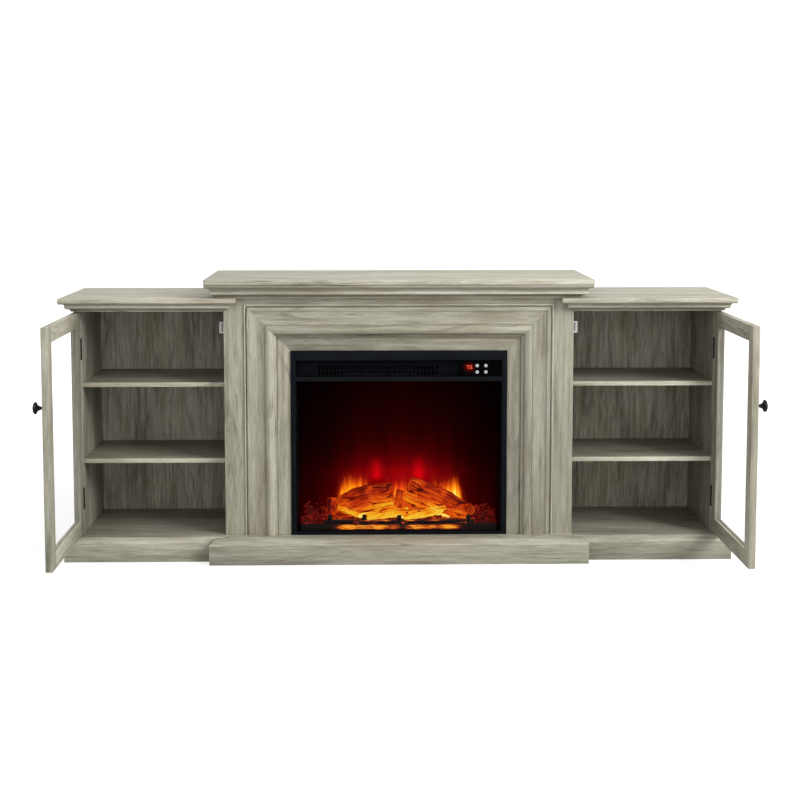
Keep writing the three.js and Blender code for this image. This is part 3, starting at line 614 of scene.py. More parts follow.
@dataclass(frozen=True)
class FlamePicture:
    """The lit screen behind the logs: a red glow that fades upwards, and flame tongues.

    Attributes:
        name: The material's name.
        tongues: For each tongue its middle, half width, foot, tip and strength, in millimetres.
        spread, rise: How much wider and taller than that each tongue's light is.
        spots: The middles of the two lamps' brighter spots, in millimetres.
        near_width, far_width, spot_width: The half widths of the glow's parts, in millimetres.
    """

    name: str
    tongues: tuple[tuple[float, float, float, float, float], ...]
    spread: float = 1.3
    rise: float = 14.0
    spots: tuple[float, float] = (-59.0, 55.0)
    near_width: float = 122.0
    far_width: float = 190.0
    spot_width: float = 14.0

    def _fire(self, shader: Shader, here: Wire, x: Wire, z: Wire) -> Wire:
        """Paints the tongues.

        Args:
            shader: The shader that they belong to.
            here: The place that is shaded.
            x, z: Its x and height in millimetres.

        Returns:
            Their colour.
        """
        lick = shader.noise(shader.mapped(here, (34.0, 1.0, 9.0), (3.0, 0.0, 1.0)), 2.0, 0.5)
        sway = (lick - 0.5) * 16.0
        hair = shader.noise(shader.mapped(here, (120.0, 1.0, 9.0)), 2.0, 0.5)
        flame: Term = 0.0
        for middle, half, foot, tip, strength in self.tongues:
            off = (x - middle + sway) / (half * self.spread)
            up = (z - foot) / (tip + self.rise - foot)
            body = (1.0 - up - off * off * 0.5) * strength
            flame = flame + shader.maths("MAXIMUM", body, 0.0)
        flame = flame * shader.step(hair, 0.25, 0.75, 0.75, 1.2)
        return shader.ramp(
            shader.maths("MINIMUM", flame * 0.50, 1.0),
            (0.0, BLACK),
            (0.16, paint(70, 14, 2)),
            (0.36, paint(176, 62, 6)),
            (0.60, paint(244, 130, 14)),
            (0.84, paint(255, 190, 34)),
            (1.0, paint(255, 228, 96)),
        )

    def _glow(self, shader: Shader, here: Wire, x: Wire, z: Wire) -> Wire:
        """Paints the glow.

        Args:
            shader: The shader that it belongs to.
            here: The place that is shaded.
            x, z: Its x and height in millimetres.

        Returns:
            Its colour.
        """
        veil = shader.noise(shader.mapped(here, (24.0, 1.0, 2.2)), 2.0, 0.5)
        near = shader.maths("MINIMUM", shader.fade(z, 240.0, 0.034) * 0.104, 0.26)
        far = shader.fade(z, 300.0, 0.0080) * 0.0230
        glow = near * shader.hump(x / self.near_width) + far * shader.hump(x / self.far_width)
        glow = glow * shader.step(veil, 0.25, 0.75, 0.72, 1.3)
        for middle in self.spots:
            spot = shader.hump((x - middle) / self.spot_width)
            spot = spot * shader.step(z, 268.0, 204.0) * shader.step(z, 186.0, 200.0)
            glow = glow + spot * 0.40
        return shader.mix(shader.maths("MINIMUM", glow, 1.0), BLACK, (1.0, 0.002, 0.008, 1))

    def material(self) -> bpy.types.Material:
        """Builds the glow and the tongues.

        Returns:
            The screen's material.
        """
        shader = Shader.of_material(self.name)
        here = shader.here()
        x, _, z = shader.parts(here)
        x, z = x / MM, z / MM
        fire, glow = self._fire(shader, here, x, z), self._glow(shader, here, x, z)
        return shader.finish(
            {
                "Base Color": paint(2, 2, 2),
                "Roughness": 0.6,
                "Specular IOR Level": 0.0,
                "Emission Color": shader.mix(1.0, glow, fire, "ADD"),
                "Emission Strength": 1.0,
            }
        )


@dataclass(frozen=True)
class GlowingLog:
    """Resin bark lit from inside and below, a painted glow, with furrows along the log and darker
    towards its outline.

    Attributes:
        name: The material's name.
        middle: The log's middle, as x and height in metres.
        turn: Its slope in radians, seen from the front.
        radius: Its radius, in metres.
        heat: How bright its painted glow is, 0 to 1.
        end_on: Whether its sawn end faces the front and shows its rings.
    """

    name: str
    middle: tuple[float, float]
    turn: float
    radius: float
    heat: float = 0.5
    end_on: bool = False

    def material(self) -> bpy.types.Material:
        """Builds the bark.

        Returns:
            The bark's material.
        """
        shader = Shader.of_material(self.name)
        here = shader.here()
        x, z = self.middle
        back, up = -x * cos(self.turn) - z * sin(self.turn), x * sin(self.turn) - z * cos(self.turn)
        own = shader.mapped(here, (1, 1, 1), (back, 0.0, up), (0.0, self.turn, 0.0))
        run, _, rise = shader.parts(own)
        run, rise = run / self.radius, rise / self.radius
        sway = shader.noise(shader.mapped(own, (16.0, 16.0, 16.0)), 1.0, output=1)
        own = shader.vector("ADD", own, shader.vector("MULTIPLY", sway, (0.012, 0.012, 0.012)))
        bark = shader.noise(shader.mapped(own, (16.0, 130.0, 150.0)), 3.0, 0.6)
        furrow_shift = (2.0 + self.heat, 5.0, 1.0)
        furrow = shader.noise(shader.mapped(own, (5.0, 20.0, 52.0), furrow_shift), 1.5, 0.5)
        crossing = shader.noise(shader.mapped(own, (70.0, 60.0, 40.0)), 2.0, 0.6)
        lump = shader.noise(here, 2.0, 0.5, 34.0)
        cut = shader.step(abs(furrow - 0.5), 0.004, 0.024)
        cut = cut * shader.step(abs(crossing - 0.5), 0.0, 0.016, 0.55, 1.0)
        # Painted glow: brighter towards the underside, as if lit from below, and darker towards the
        # outline.
        level = (bark - 0.5) * 0.7 + (lump - 0.5) * 0.75 + self.heat - rise * 0.10
        level = level - shader.step(abs(rise), 0.80, 1.12, 0.0, 0.34)
        level = level * shader.step(cut, 0.0, 1.0, 0.30, 1.0)
        if self.end_on:
            out = shader.maths("SQRT", run * run + rise * rise) + (lump - 0.5) * 0.5
            rings = shader.maths("SINE", out * 15.0)
            level = level * shader.step(rings, -0.5, 0.7, 0.35, 1.1)
        glow = shader.ramp(
            level,
            (0.0, paint(24, 2, 1)),
            (0.18, paint(94, 10, 2)),
            (0.38, paint(178, 40, 5)),
            (0.56, paint(228, 82, 10)),
            (0.74, paint(248, 130, 14)),
            (0.90, paint(255, 172, 24)),
            (1.0, paint(255, 204, 56)),
        )
        return shader.finish(
            {
                "Base Color": paint(26, 10, 5),
                "Roughness": 0.75,
                "Specular IOR Level": 0.05,
                "Normal": shader.bump(bark + cut * 0.6, 0.5, 0.002),
                "Emission Color": glow,
                "Emission Strength": 0.92,
            }
        )


@dataclass(frozen=True)
class Embers:
    """Charred chips with thin red veins in a painted glow, brighter near the logs.

    Attributes:
        name: The material's name.
        inner, outer: Where they begin to dim and where they are dimmest, in millimetres of x.
    """

    name: str
    inner: float = 150.0
    outer: float = 235.0

    def material(self) -> bpy.types.Material:
        """Builds the chips.

        Returns:
            The chips' material.
        """
        shader = Shader.of_material(self.name)
        here = shader.here()
        x, _, _ = shader.parts(here)
        first = shader.noise(here, 2.5, 0.6, 95.0)
        second = shader.noise(here, 2.5, 0.6, 170.0)
        veins = shader.step(abs(first - 0.5), 0.040, 0.008)
        veins = veins + shader.step(abs(second - 0.5), 0.036, 0.008) * 0.7
        heap = shader.noise(here, 2.0, 0.5, 26.0)
        # The painted glow dims away from the logs.
        near = shader.step(abs(x), self.outer * MM, self.inner * MM, 0.42, 1.0)
        tint = shader.ramp(
            veins * shader.step(heap, 0.36, 0.62, 0.25, 1.0) * near,
            (0.0, paint(44, 5, 4)),
            (0.25, paint(128, 18, 10)),
            (0.6, paint(206, 46, 18)),
            (1.0, paint(244, 110, 40)),
        )
        return shader.finish(
            {
                "Base Color": paint(18, 10, 9),
                "Roughness": 0.8,
                "Specular IOR Level": 0.1,
                "Normal": shader.bump(first, 0.5, 0.002),
                "Emission Color": tint,
                "Emission Strength": 0.9,
            }
        )


@dataclass(frozen=True)
class FireLedge:
    """Gloss-black metal below the logs, with their light painted on it in patches as a painted
    reflection.

    Attributes:
        name: The material's name.
        patches: For each patch its middle, half width and strength, in millimetres.
        low, high: The heights that the patches lie between, in millimetres.
        soft: How wide their upper and lower edges fade, in millimetres.
        waver: How far the patches' edges waver sideways, in millimetres.
    """

    name: str
    patches: tuple[tuple[float, float, float], ...]
    low: float
    high: float
    soft: float = 7.0
    waver: float = 26.0

    def material(self) -> bpy.types.Material:
        """Builds the metal and the patches of painted reflection.

        Returns:
            The metal's material.
        """
        shader = Shader.of_material(self.name)
        here = shader.here()
        x, _, z = shader.parts(here)
        x, z = x / MM, z / MM
        ripple = shader.noise(shader.mapped(here, (46.0, 1.0, 360.0)), 3.0, 0.6)
        edge = shader.noise(shader.mapped(here, (60.0, 1.0, 200.0), (7.0, 0.0, 3.0)))
        x = x + (edge - 0.5) * self.waver
        light: Term = 0.0
        for middle, half, strength in self.patches:
            light = light + shader.hump((x - middle) / half) * strength
        height = shader.step(z, self.low, self.low + self.soft)
        height = height * shader.step(z, self.high, self.high - self.soft)
        glow = shader.ramp(
            light * height * shader.step(ripple, 0.30, 0.66, 0.2, 1.15),
            (0.0, BLACK),
            (0.15, paint(64, 14, 4)),
            (0.45, paint(204, 84, 14)),
            (0.80, paint(250, 160, 34)),
        )
        return shader.finish(
            {
                "Base Color": paint(30, 23, 23),
                "Roughness": shader.step(ripple, 0.3, 0.7, 0.26, 0.4),
                "Specular IOR Level": 0.06,
                "Emission Color": glow,
                "Emission Strength": 1.0,
            }
        )


@dataclass(frozen=True)
class Lit:
    """A display segment: one colour of light behind a clear window.

    Attributes:
        name: The material's name.
        colour: The light's colour, 0 to 255.
    """

    name: str
    colour: Point

    def material(self) -> bpy.types.Material:
        """Builds the light with its faint unevenness.

        Returns:
            The segment's material.
        """
        shader = Shader.of_material(self.name)
        cell = shader.noise(shader.here(), 1.0, 0.5, 700.0)
        low, high = paint(*self.colour, tone=0.8), paint(*self.colour)
        return shader.finish(
            {
                "Base Color": paint(60, 8, 6),
                "Roughness": 0.4,
                "Emission Color": shader.ramp(cell, (0.3, low), (0.7, high)),
                "Emission Strength": 1.0,
            }
        )


class Finishes:
    """Every finish of the stand that more than one piece may share, built once."""

    def __init__(self) -> None:
        """Builds the materials: the laminate, then the insert's, the doors' and the catches'."""
        across, deep, upright = Grain.ACROSS, Grain.DEEP, Grain.UPRIGHT
        self.across = WeatheredWood("oak_across", across).material()
        self.deep = WeatheredWood("oak_deep", deep).material()
        self.upright = WeatheredWood("oak_upright", upright).material()
        # Darker copies for the cabinets' insides: painted shade on inner sides, shelf tops and
        # bottoms.
        self.shaded_inner_across = WeatheredWood("oak_inner_across", across, 0.60).material()
        self.shaded_inner_upright = WeatheredWood("oak_inner_upright", upright, 0.62, 1.8).material()
        self.back = WeatheredWood("oak_back", upright, 1.03, 1.9).material()
        # Darker copy for the right pilaster: painted shade. Its pattern is moved too.
        self.shaded_upright_far = WeatheredWood("oak_upright_far", upright, 0.89, 0.9, 5.3).material()
        # Darker copy for the centre plinth: painted shade.
        self.shaded_low_across = WeatheredWood("oak_low_across", across, 0.88).material()
        # Darker copy for the right side plinth: painted shade. Its pattern is moved too.
        self.shaded_far_across = WeatheredWood("oak_far_across", across, 0.80, 0.9, 3.1).material()
        # Lighter copy for the left torus: a painted highlight.
        self.torus = WeatheredWood("oak_lit_torus", upright, 1.14, 0.75).material()
        self.shaded = WeatheredWood("oak_shaded", upright, 0.89).material()
        self.shaded_torus = WeatheredWood("oak_shaded_torus", upright, 0.82, 0.7, 2.7).material()
        # Darker copy for the doors' hinge stiles: painted shade.
        self.shaded_hinge_stile = WeatheredWood("oak_hinge_stile", upright, 0.62).material()
        # Darker copies for grooves: painted shade.
        self.shaded_groove_across = WeatheredWood("oak_recess_across", across, 0.62).material()
        self.shaded_groove_upright = WeatheredWood("oak_recess_upright", upright, 0.62).material()
        # Darker copy for a moulding's coves and its band under the slab: painted shade.
        self.shaded_cove_across = WeatheredWood("oak_cove_across", across, 0.90, 0.8).material()
        # Lighter copy for a moulding's upright front faces: a painted highlight on the bead.
        self.highlight_bead_across = WeatheredWood("oak_bead_across", across, 1.34).material()
        # Lighter copies: painted highlights on eased arrises, slab edges and shelf fronts.
        self.highlight_edge_across = WeatheredWood("oak_edge_across", across, 1.28).material()
        self.highlight_edge_deep = WeatheredWood("oak_edge_deep", deep, 1.28).material()
        self.highlight_edge_upright = WeatheredWood("oak_edge_upright", upright, 1.22).material()

        self.steel = PaintedSteel("insert_black", (17, 20, 25), 0.42, 0.08).material()
        # Near black for the bezel's chamfer and sides: a painted shadow gap.
        self.shadow_gap = PaintedSteel("insert_shadow_gap", (3, 3, 3), 0.7, 0.0).material()
        self.hinge = PaintedSteel("hinge_black", (34, 33, 31), 0.34, 0.3).material()
        self.knob = PaintedSteel("knob_black", (19, 19, 20), 0.3, 0.35, 900.0).material()
        self.grille = PaintedSteel("grille_black", (12, 14, 18), 0.5, 0.03).material()
        # A dark brushed steel for the blower wheel and the heater element.
        self.dark_brushed = BrushedMetal("steel_blued", (24, 24, 26), 0.5).material()
        self.aluminium = BrushedMetal("aluminium_brushed").material()

        self.gloss = GlossPanel("panel_gloss").material()
        self.door_glass = ClearGlass("door_glass_clear").material()
        self.window = ClearGlass("window_glass_clear", (3, 3, 3), 0.02, 0.08, 0.0).material()
        self.catch_body = MouldedPlastic("catch_white", (226, 226, 226)).material()
        self.catch_groove = MouldedPlastic("catch_grey", (128, 128, 132)).material()
        self.button = MouldedPlastic("button_white", (196, 198, 204), 0.3, 0.3).material()
        self.black_plastic = MouldedPlastic("plastic_black", (20, 20, 21), 0.5, 0.2).material()
        self.figure = Lit("figure_red", (255, 104, 66)).material()
        self.embers = Embers("ember_char").material()


def deselect() -> None:
    """Leaves edit mode and deselects everything."""
    if bpy.context.object and bpy.context.object.mode != "OBJECT":
        bpy.ops.object.mode_set(mode="OBJECT")
    for thing in bpy.context.selected_objects:
        thing.select_set(False)


def pick(*pieces: bpy.types.Object) -> None:
    """Selects some pieces and nothing else, and makes the first of them active.

    Args:
        pieces: The pieces.
    """
    deselect()
    for piece in pieces:
        piece.select_set(True)
    bpy.context.view_layer.objects.active = pieces[0]


def choose(piece: bpy.types.Object, kind: str, rule: Callable[[Any], bool]) -> None:
    """Enters edit mode with only those parts of a mesh selected that a rule names.

    Args:
        piece: The piece.
        kind: "VERT", "EDGE" or "FACE".
        rule: Says of a vertex, edge or face whether it is wanted.
    """
    pick(piece)
    bpy.ops.object.mode_set(mode="EDIT")
    bpy.ops.mesh.select_mode(type=kind)
    bpy.ops.mesh.select_all(action="DESELECT")
    bpy.ops.object.mode_set(mode="OBJECT")
    mesh = piece.data
    for part in {"VERT": mesh.vertices, "EDGE": mesh.edges, "FACE": mesh.polygons}[kind]:
        part.select = rule(part)
    bpy.ops.object.mode_set(mode="EDIT")


def halve(piece: bpy.types.Object, spot: Point, way: Point, **settings: Any) -> None:
    """Cuts a whole mesh along a plane and leaves it in edit mode with the cut selected.

    Args:
        piece: The piece.
        spot: A point of the plane, in metres.
        way: The way that the plane faces.
        settings: What happens on its two sides.
    """
    choose(piece, "VERT", lambda vertex: True)
    bpy.ops.mesh.bisect(plane_co=spot, plane_no=way, **settings)


def modifier(piece: bpy.types.Object, kind: str, **settings: Any) -> None:
    """Adds a modifier and applies it.

    Args:
        piece: The piece that it shapes.
        kind: The modifier's type.
        settings: Its settings.
    """
    pick(piece)
    made = piece.modifiers.new(kind.lower(), kind)
    for key, value in settings.items():
        setattr(made, key, value)
    bpy.ops.object.modifier_apply(modifier=made.name)


def ease_edges(
    piece: bpy.types.Object,
    width: float,
    segments: int = 2,
    degrees: float = 38.0,
    material: int = -1,
) -> None:
    """Bevels a piece's sharp edges.

    Args:
        piece: The piece.
        width: The bevel's width, in millimetres.
        segments: How many faces it has across.
        degrees: How sharp an edge has to be to get it.
        material: The number of its finish; -1 keeps the neighbours'.
    """
    modifier(
        piece,
        "BEVEL",
        width=width * MM,
        segments=segments,
        limit_method="ANGLE",
        angle_limit=radians(degrees),
        material=material,
    )


def roughen(piece: bpy.types.Object, name: str, size: float, strength: float, **way: str) -> None:
    """Moves a piece's surface in and out by a cloud texture.

    Args:
        piece: The piece.
        name: The texture's name.
        size: How large its lumps are, in metres.
        strength: How far they reach, in metres.
        way: The direction, where it isn't along the surface's normals.
    """
    cloud = bpy.data.textures.new(name, "CLOUDS")
    cloud.noise_scale = size
    modifier(
        piece,
        "DISPLACE",
        texture=cloud,
        strength=strength,
        mid_level=0.5,
        texture_coords="LOCAL",
        **way,
    )


def smooth(piece: bpy.types.Object, degrees: float = 35.0) -> None:
    """Shades a piece smooth except across sharp edges."""
    pick(piece)
    bpy.ops.object.shade_smooth_by_angle(angle=radians(degrees))


def settle(piece: bpy.types.Object) -> None:
    """Moves a piece's place, turn and size into its mesh."""
    pick(piece)
    bpy.ops.object.transform_apply(location=True, rotation=True, scale=True)


def cube(spot: Vector, size: Point) -> bpy.types.Object:
    """Adds a block.

    Args:
        spot: Its middle, in metres.
        size: Its width, depth and height, in millimetres.

    Returns:
        The block, with its place and size in its mesh.
    """
    deselect()
    scale = tuple(length * MM for length in size)
    bpy.ops.mesh.primitive_cube_add(size=1, location=spot, scale=scale)
    block = bpy.context.object
    settle(block)
    return block


def joined(parts: list[bpy.types.Object], name: str) -> bpy.types.Object:
    """Joins parts into one piece with its place in its mesh.

    Args:
        parts: The parts.
        name: The piece's name.

    Returns:
        The piece.
    """
    pick(*parts)
    bpy.ops.object.join()
    parts[0].name = name
    settle(parts[0])
    return parts[0]


def repeated(base: bpy.types.Object, name: str) -> bpy.types.Object:
    """Copies a piece with a mesh of its own.

    Args:
        base: The piece that is copied.
        name: The copy's name.

    Returns:
        The copy.
    """
    piece = bpy.data.objects.new(name, base.data.copy())
    bpy.context.scene.collection.objects.link(piece)
    return piece


def coat(piece: bpy.types.Object, *materials: bpy.types.Material) -> None:
    """Gives a piece its finishes.

    Args:
        piece: The piece.
        materials: The finishes, in the order that its faces number them.
    """
    piece.data.materials.clear()
    for material in materials:
        piece.data.materials.append(material)


def fit_out(piece: bpy.types.Object, body: str, slot: str, *nodes: str) -> None:
    """Hands a finished piece to the frame.

    Args:
        piece: The piece, in place and with its finishes.
        body: The body that it rides on.
        slot: The record's material slot; not used.
        nodes: CAD nodes that it stands for.
    """
    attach(piece, body)
    if nodes:
        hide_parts(*nodes)
    LOG.info("%s: %d faces on %s", piece.name, len(piece.data.polygons), body)


def copied(node: str, name: str) -> bpy.types.Object:
    """Copies a CAD node's mesh and merges it.

    Args:
        node: The CAD node.
        name: The new piece's name.

    Returns:
        The piece, with nothing selected in it.
    """
    piece = repeated(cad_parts[node], name)
    pick(piece)
    bpy.ops.object.mode_set(mode="EDIT")
    bpy.ops.mesh.select_all(action="SELECT")
    bpy.ops.mesh.remove_doubles(threshold=0.00002)
    bpy.ops.mesh.dissolve_limited(angle_limit=radians(1.0))
    bpy.ops.mesh.select_all(action="DESELECT")
    bpy.ops.object.mode_set(mode="OBJECT")
    return piece


def dress(node: str, material: bpy.types.Material) -> None:
    """Gives a CAD node that stays in view its finish.

    Args:
        node: The CAD node.
        material: The finish.
    """
    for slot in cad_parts[node].material_slots:
        slot.material = material
    LOG.info("%s keeps its CAD shape, in %s", node, material.name)


class Trim(Enum):
    """Which faces of a board take another finish than its main one: another grain, the back's
    finish, a painted highlight or painted shade.
    """

    PLAIN = "plain"
    SLAB = "slab"
    MOULDING = "moulding"
    INWARD = "inward"
    SHELF = "shelf"
    BACK = "back"
    WRAPPED = "wrapped"


@dataclass(frozen=True)
class Board:
    """A wooden board of the CAD frame, with its arrises eased.

    Attributes:
        finishes: The stand's finishes.
        node: The CAD node that it stands for.
        grain: The axis that its grain runs along.
        trim: Which of its faces are set off.
        inward: Where the inside lies along x, -1 or 1, on a board that has one.
        ease: The width of the eased arris, in millimetres.
        nose: The radius of a slab's lower front edge, in millimetres.
        main: Another main finish than the one of its grain, such as a darker copy that is painted
            shade.
        bead_share, cove_share: How high a moulding's bead and cove begin, 0 to 1.
        level, undercut: How far a face's normal points up or down, to count as such.
        upright: How far at most it does on an upright face.
    """

    finishes: Finishes
    node: str
    grain: Grain
    trim: Trim = Trim.PLAIN
    inward: int = 0
    ease: float = 0.8
    nose: float = 5.0
    main: Optional[bpy.types.Material] = None
    bead_share: float = 0.318
    cove_share: float = 0.8
    level: float = 0.97
    undercut: float = 0.3
    upright: float = 0.05

    def _materials(self) -> list[bpy.types.Material]:
        """Lists the board's finishes.

        Returns:
            The main finish, then those that `_slot_of` numbers.
        """
        look = self.finishes
        own = {Grain.ACROSS: look.across, Grain.DEEP: look.deep, Grain.UPRIGHT: look.upright}
        # edge is the painted-highlight copy for the board's grain.
        edge = look.highlight_edge_upright if self.grain is Grain.UPRIGHT else look.highlight_edge_across
        others = {
            Trim.PLAIN: [edge],
            Trim.SLAB: [look.highlight_edge_across, look.highlight_edge_deep],
            Trim.MOULDING: [
                look.deep, look.highlight_bead_across, look.highlight_edge_deep, look.shaded_groove_across, look.shaded_cove_across
            ],
            Trim.INWARD: [look.shaded_inner_upright, edge],
            Trim.SHELF: [look.shaded_inner_across, edge],
            Trim.BACK: [look.back],
            Trim.WRAPPED: [look.deep, edge],
        }
        return [self.main or own[self.grain], *others[self.trim]]

    def _moulding_slot(self, normal: Vector, height: float) -> int:
        """Tells which finish a face of a moulding takes: undercut faces and its top band take
        painted shade, upright faces a painted highlight.

        Args:
            normal: The face's normal.
            height: Where its middle lies between the board's foot and top, 0 to 1.

        Returns:
            The finish's number.
        """
        sideways = abs(normal.x) > abs(normal.y)
        undercut = -self.level < normal.z < -self.undercut
        if undercut and not sideways and height < self.cove_share:
            return 4 if height < self.bead_share else 5
        if height > self.cove_share:
            return 1 if sideways else 5
        turned = sideways and abs(normal.z) <= self.level
        return (2 if abs(normal.z) < self.upright else 0) + (1 if turned else 0)

    def _slot_of(self, normal: Vector, height: float) -> int:
        """Tells which finish a face takes: inner sides and shelf tops take painted shade, front
        edges a painted highlight.

        Args:
            normal: The face's normal.
            height: Where its middle lies between the board's foot and top, 0 to 1.

        Returns:
            The finish's number.
        """
        sideways = abs(normal.x) > abs(normal.y)
        level = abs(normal.z) > self.level
        if self.trim is Trim.SLAB:
            return 0 if level else 2 if sideways else 1
        if self.trim is Trim.MOULDING:
            return self._moulding_slot(normal, height)
        # Inward faces and shelf tops take painted shade; a shelf's front edge takes a painted
        # highlight.
        if self.trim is Trim.INWARD:
            return 1 if normal.x * self.inward > FACING else 0
        if self.trim is Trim.SHELF:
            return 1 if level else 2 if normal.y < -FACING else 0
        if self.trim is Trim.BACK:
            return 1 if normal.y < -FACING else 0
        return 1 if self.trim is Trim.WRAPPED and sideways else 0

    def _round_nose(self, piece: bpy.types.Object, under: float, back: float) -> None:
        """Rounds a slab's lower edge everywhere but along the wall.

        Args:
            piece: The slab.
            under: The height below which an edge is a lower one, in metres.
            back: The y beyond which it runs along the wall, in metres.
        """

        def is_nose(edge: bpy.types.MeshEdge) -> bool:
            """Whether an edge is rounded."""
            ends = [piece.data.vertices[number].co for number in edge.vertices]
            return all(end.z < under for end in ends) and not all(end.y > back for end in ends)

        choose(piece, "EDGE", is_nose)
        bpy.ops.mesh.bevel(offset=self.nose * MM, segments=4, affect="EDGES")
        bpy.ops.object.mode_set(mode="OBJECT")

    def build(self) -> None:
        """Builds the board, with a painted highlight on its eased arrises."""
        piece = copied(self.node, f"{self.node}_board")
        materials = self._materials()
        coat(piece, *materials)
        low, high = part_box(self.node)
        for face in piece.data.polygons:
            share = (face.center.z - low.z) / (high.z - low.z)
            face.material_index = self._slot_of(face.normal, share)
        if self.trim is Trim.SLAB:
            self._round_nose(piece, low.z + SLACK, high.y - SLACK)
        # Eased arrises take a painted highlight, except on mouldings and backs.
        without_edge_highlight = self.trim in (Trim.MOULDING, Trim.BACK)
        ease_edges(piece, self.ease, material=-1 if without_edge_highlight else len(materials) - 1)
        smooth(piece)
        fit_out(piece, "cabinet", "wood", self.node)


@dataclass
class Mantel:
    """The raised middle: top slab, crown, frieze, pilasters, surround, dividers, hearth, plinth.

    Attributes:
        finishes: The stand's finishes.
        bead, torus: Where the surround's members lie, in millimetres in from its outer edge.
        recesses: Where its grooves lie, likewise, which take painted shade.
            head_recess, upright_recess: The groove beside the torus, on its head and on its
                uprights, also in painted shade.
        ease: The width of the surround's eased arrises, in millimetres.
    """

    finishes: Finishes
    bead: tuple[float, float] = (-0.1, 5.2)
    torus: tuple[float, float] = (55.5, 80.0)
    recesses: tuple[tuple[float, float], ...] = ((5.2, 8.6), (17.5, 18.5), (54.5, 55.5))
    head_recess: tuple[float, float] = (76.0, 86.6)
    upright_recess: tuple[float, float] = (85.4, 89.0)
    ease: float = 0.3

    def _member_slot(self, inset: float, recesses: tuple[tuple[float, float], ...]) -> int:
        """Tells which finish a face of the surround takes.

        Args:
            inset: How far in from the surround's outer edge it lies, in millimetres.
            recesses: Where the grooves lie.

        Returns:
            0 for a flat member, 1 for the torus, 2 for the bead's painted highlight and 3 for a
            groove's painted shade.
        """
        if any(start < inset < end for start, end in recesses):
            return 3
        if self.bead[0] < inset < self.bead[1]:
            return 2
        return 1 if self.torus[0] < inset < self.torus[1] else 0

    def _upright(self, side: str, flat: bpy.types.Material, torus: bpy.types.Material) -> None:
        """Builds an upright of the surround.

        Args:
            side: left or right.
            flat, torus: The finishes of its flat members and of its torus; on the left the torus
                takes a lighter copy, a painted highlight, and on the right both take darker copies,
                painted shade.
        """
        look, node = self.finishes, f"surround_{side}"
        _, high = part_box("surround_top")
        piece = copied(node, f"{node}_board")
        coat(piece, flat, torus, look.highlight_edge_upright, look.shaded_groove_upright)
        # The cut bounds the painted shade of the groove beside the torus.
        cut = (SIDES[side] * (high.x - self.upright_recess[1] * MM), 0, 0)
        halve(piece, cut, (1, 0, 0))
        bpy.ops.object.mode_set(mode="OBJECT")
        for face in piece.data.polygons:
            inset = (high.x - abs(face.center.x)) / MM
            recesses = (*self.recesses, self.upright_recess)
            face.material_index = self._member_slot(inset, recesses)
        self._ease_member(piece, node)

    def _head(self) -> None:
        """Builds the head of the surround."""
        look, node = self.finishes, "surround_top"
        _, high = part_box(node)
        piece = copied(node, f"{node}_board")
        coat(piece, look.across, look.across, look.highlight_edge_across, look.shaded_groove_across)
        for face in piece.data.polygons:
            inset = (high.z - face.center.z) / MM
            face.material_index = self._member_slot(inset, (*self.recesses, self.head_recess))
        self._ease_member(piece, node)

    def _ease_member(self, piece: bpy.types.Object, node: str) -> None:
        """Eases a member's arrises and hands it over.

        Args:
            piece: The member.
            node: The CAD node that it stands for.
        """
        ease_edges(piece, self.ease)
        smooth(piece)
        fit_out(piece, "cabinet", "wood", node)

    def build(self) -> None:
        """Builds the boards."""
        look = self.finishes
        Board(look, "mantel_top", Grain.ACROSS, Trim.SLAB, ease=1.0, nose=4.0).build()
        Board(look, "mantel_crown", Grain.ACROSS, Trim.MOULDING, ease=0.3).build()
        # The centre plinth takes a darker copy: painted shade.
        Board(look, "centre_plinth", Grain.ACROSS, Trim.WRAPPED, main=look.shaded_low_across).build()
        for node in ("frieze_board", "hearth_panel", "hearth_support"):
            Board(look, node, Grain.ACROSS).build()
        self._head()
        Board(look, "left_pilaster", Grain.UPRIGHT).build()
        self._upright("left", look.upright, look.torus)
        Board(look, "left_divider", Grain.UPRIGHT, Trim.INWARD, inward=-1).build()
        # The right pilaster takes a darker copy: painted shade.
        Board(look, "right_pilaster", Grain.UPRIGHT, main=look.shaded_upright_far).build()
        self._upright("right", look.shaded, look.shaded_torus)
        Board(look, "right_divider", Grain.UPRIGHT, Trim.INWARD, inward=1).build()


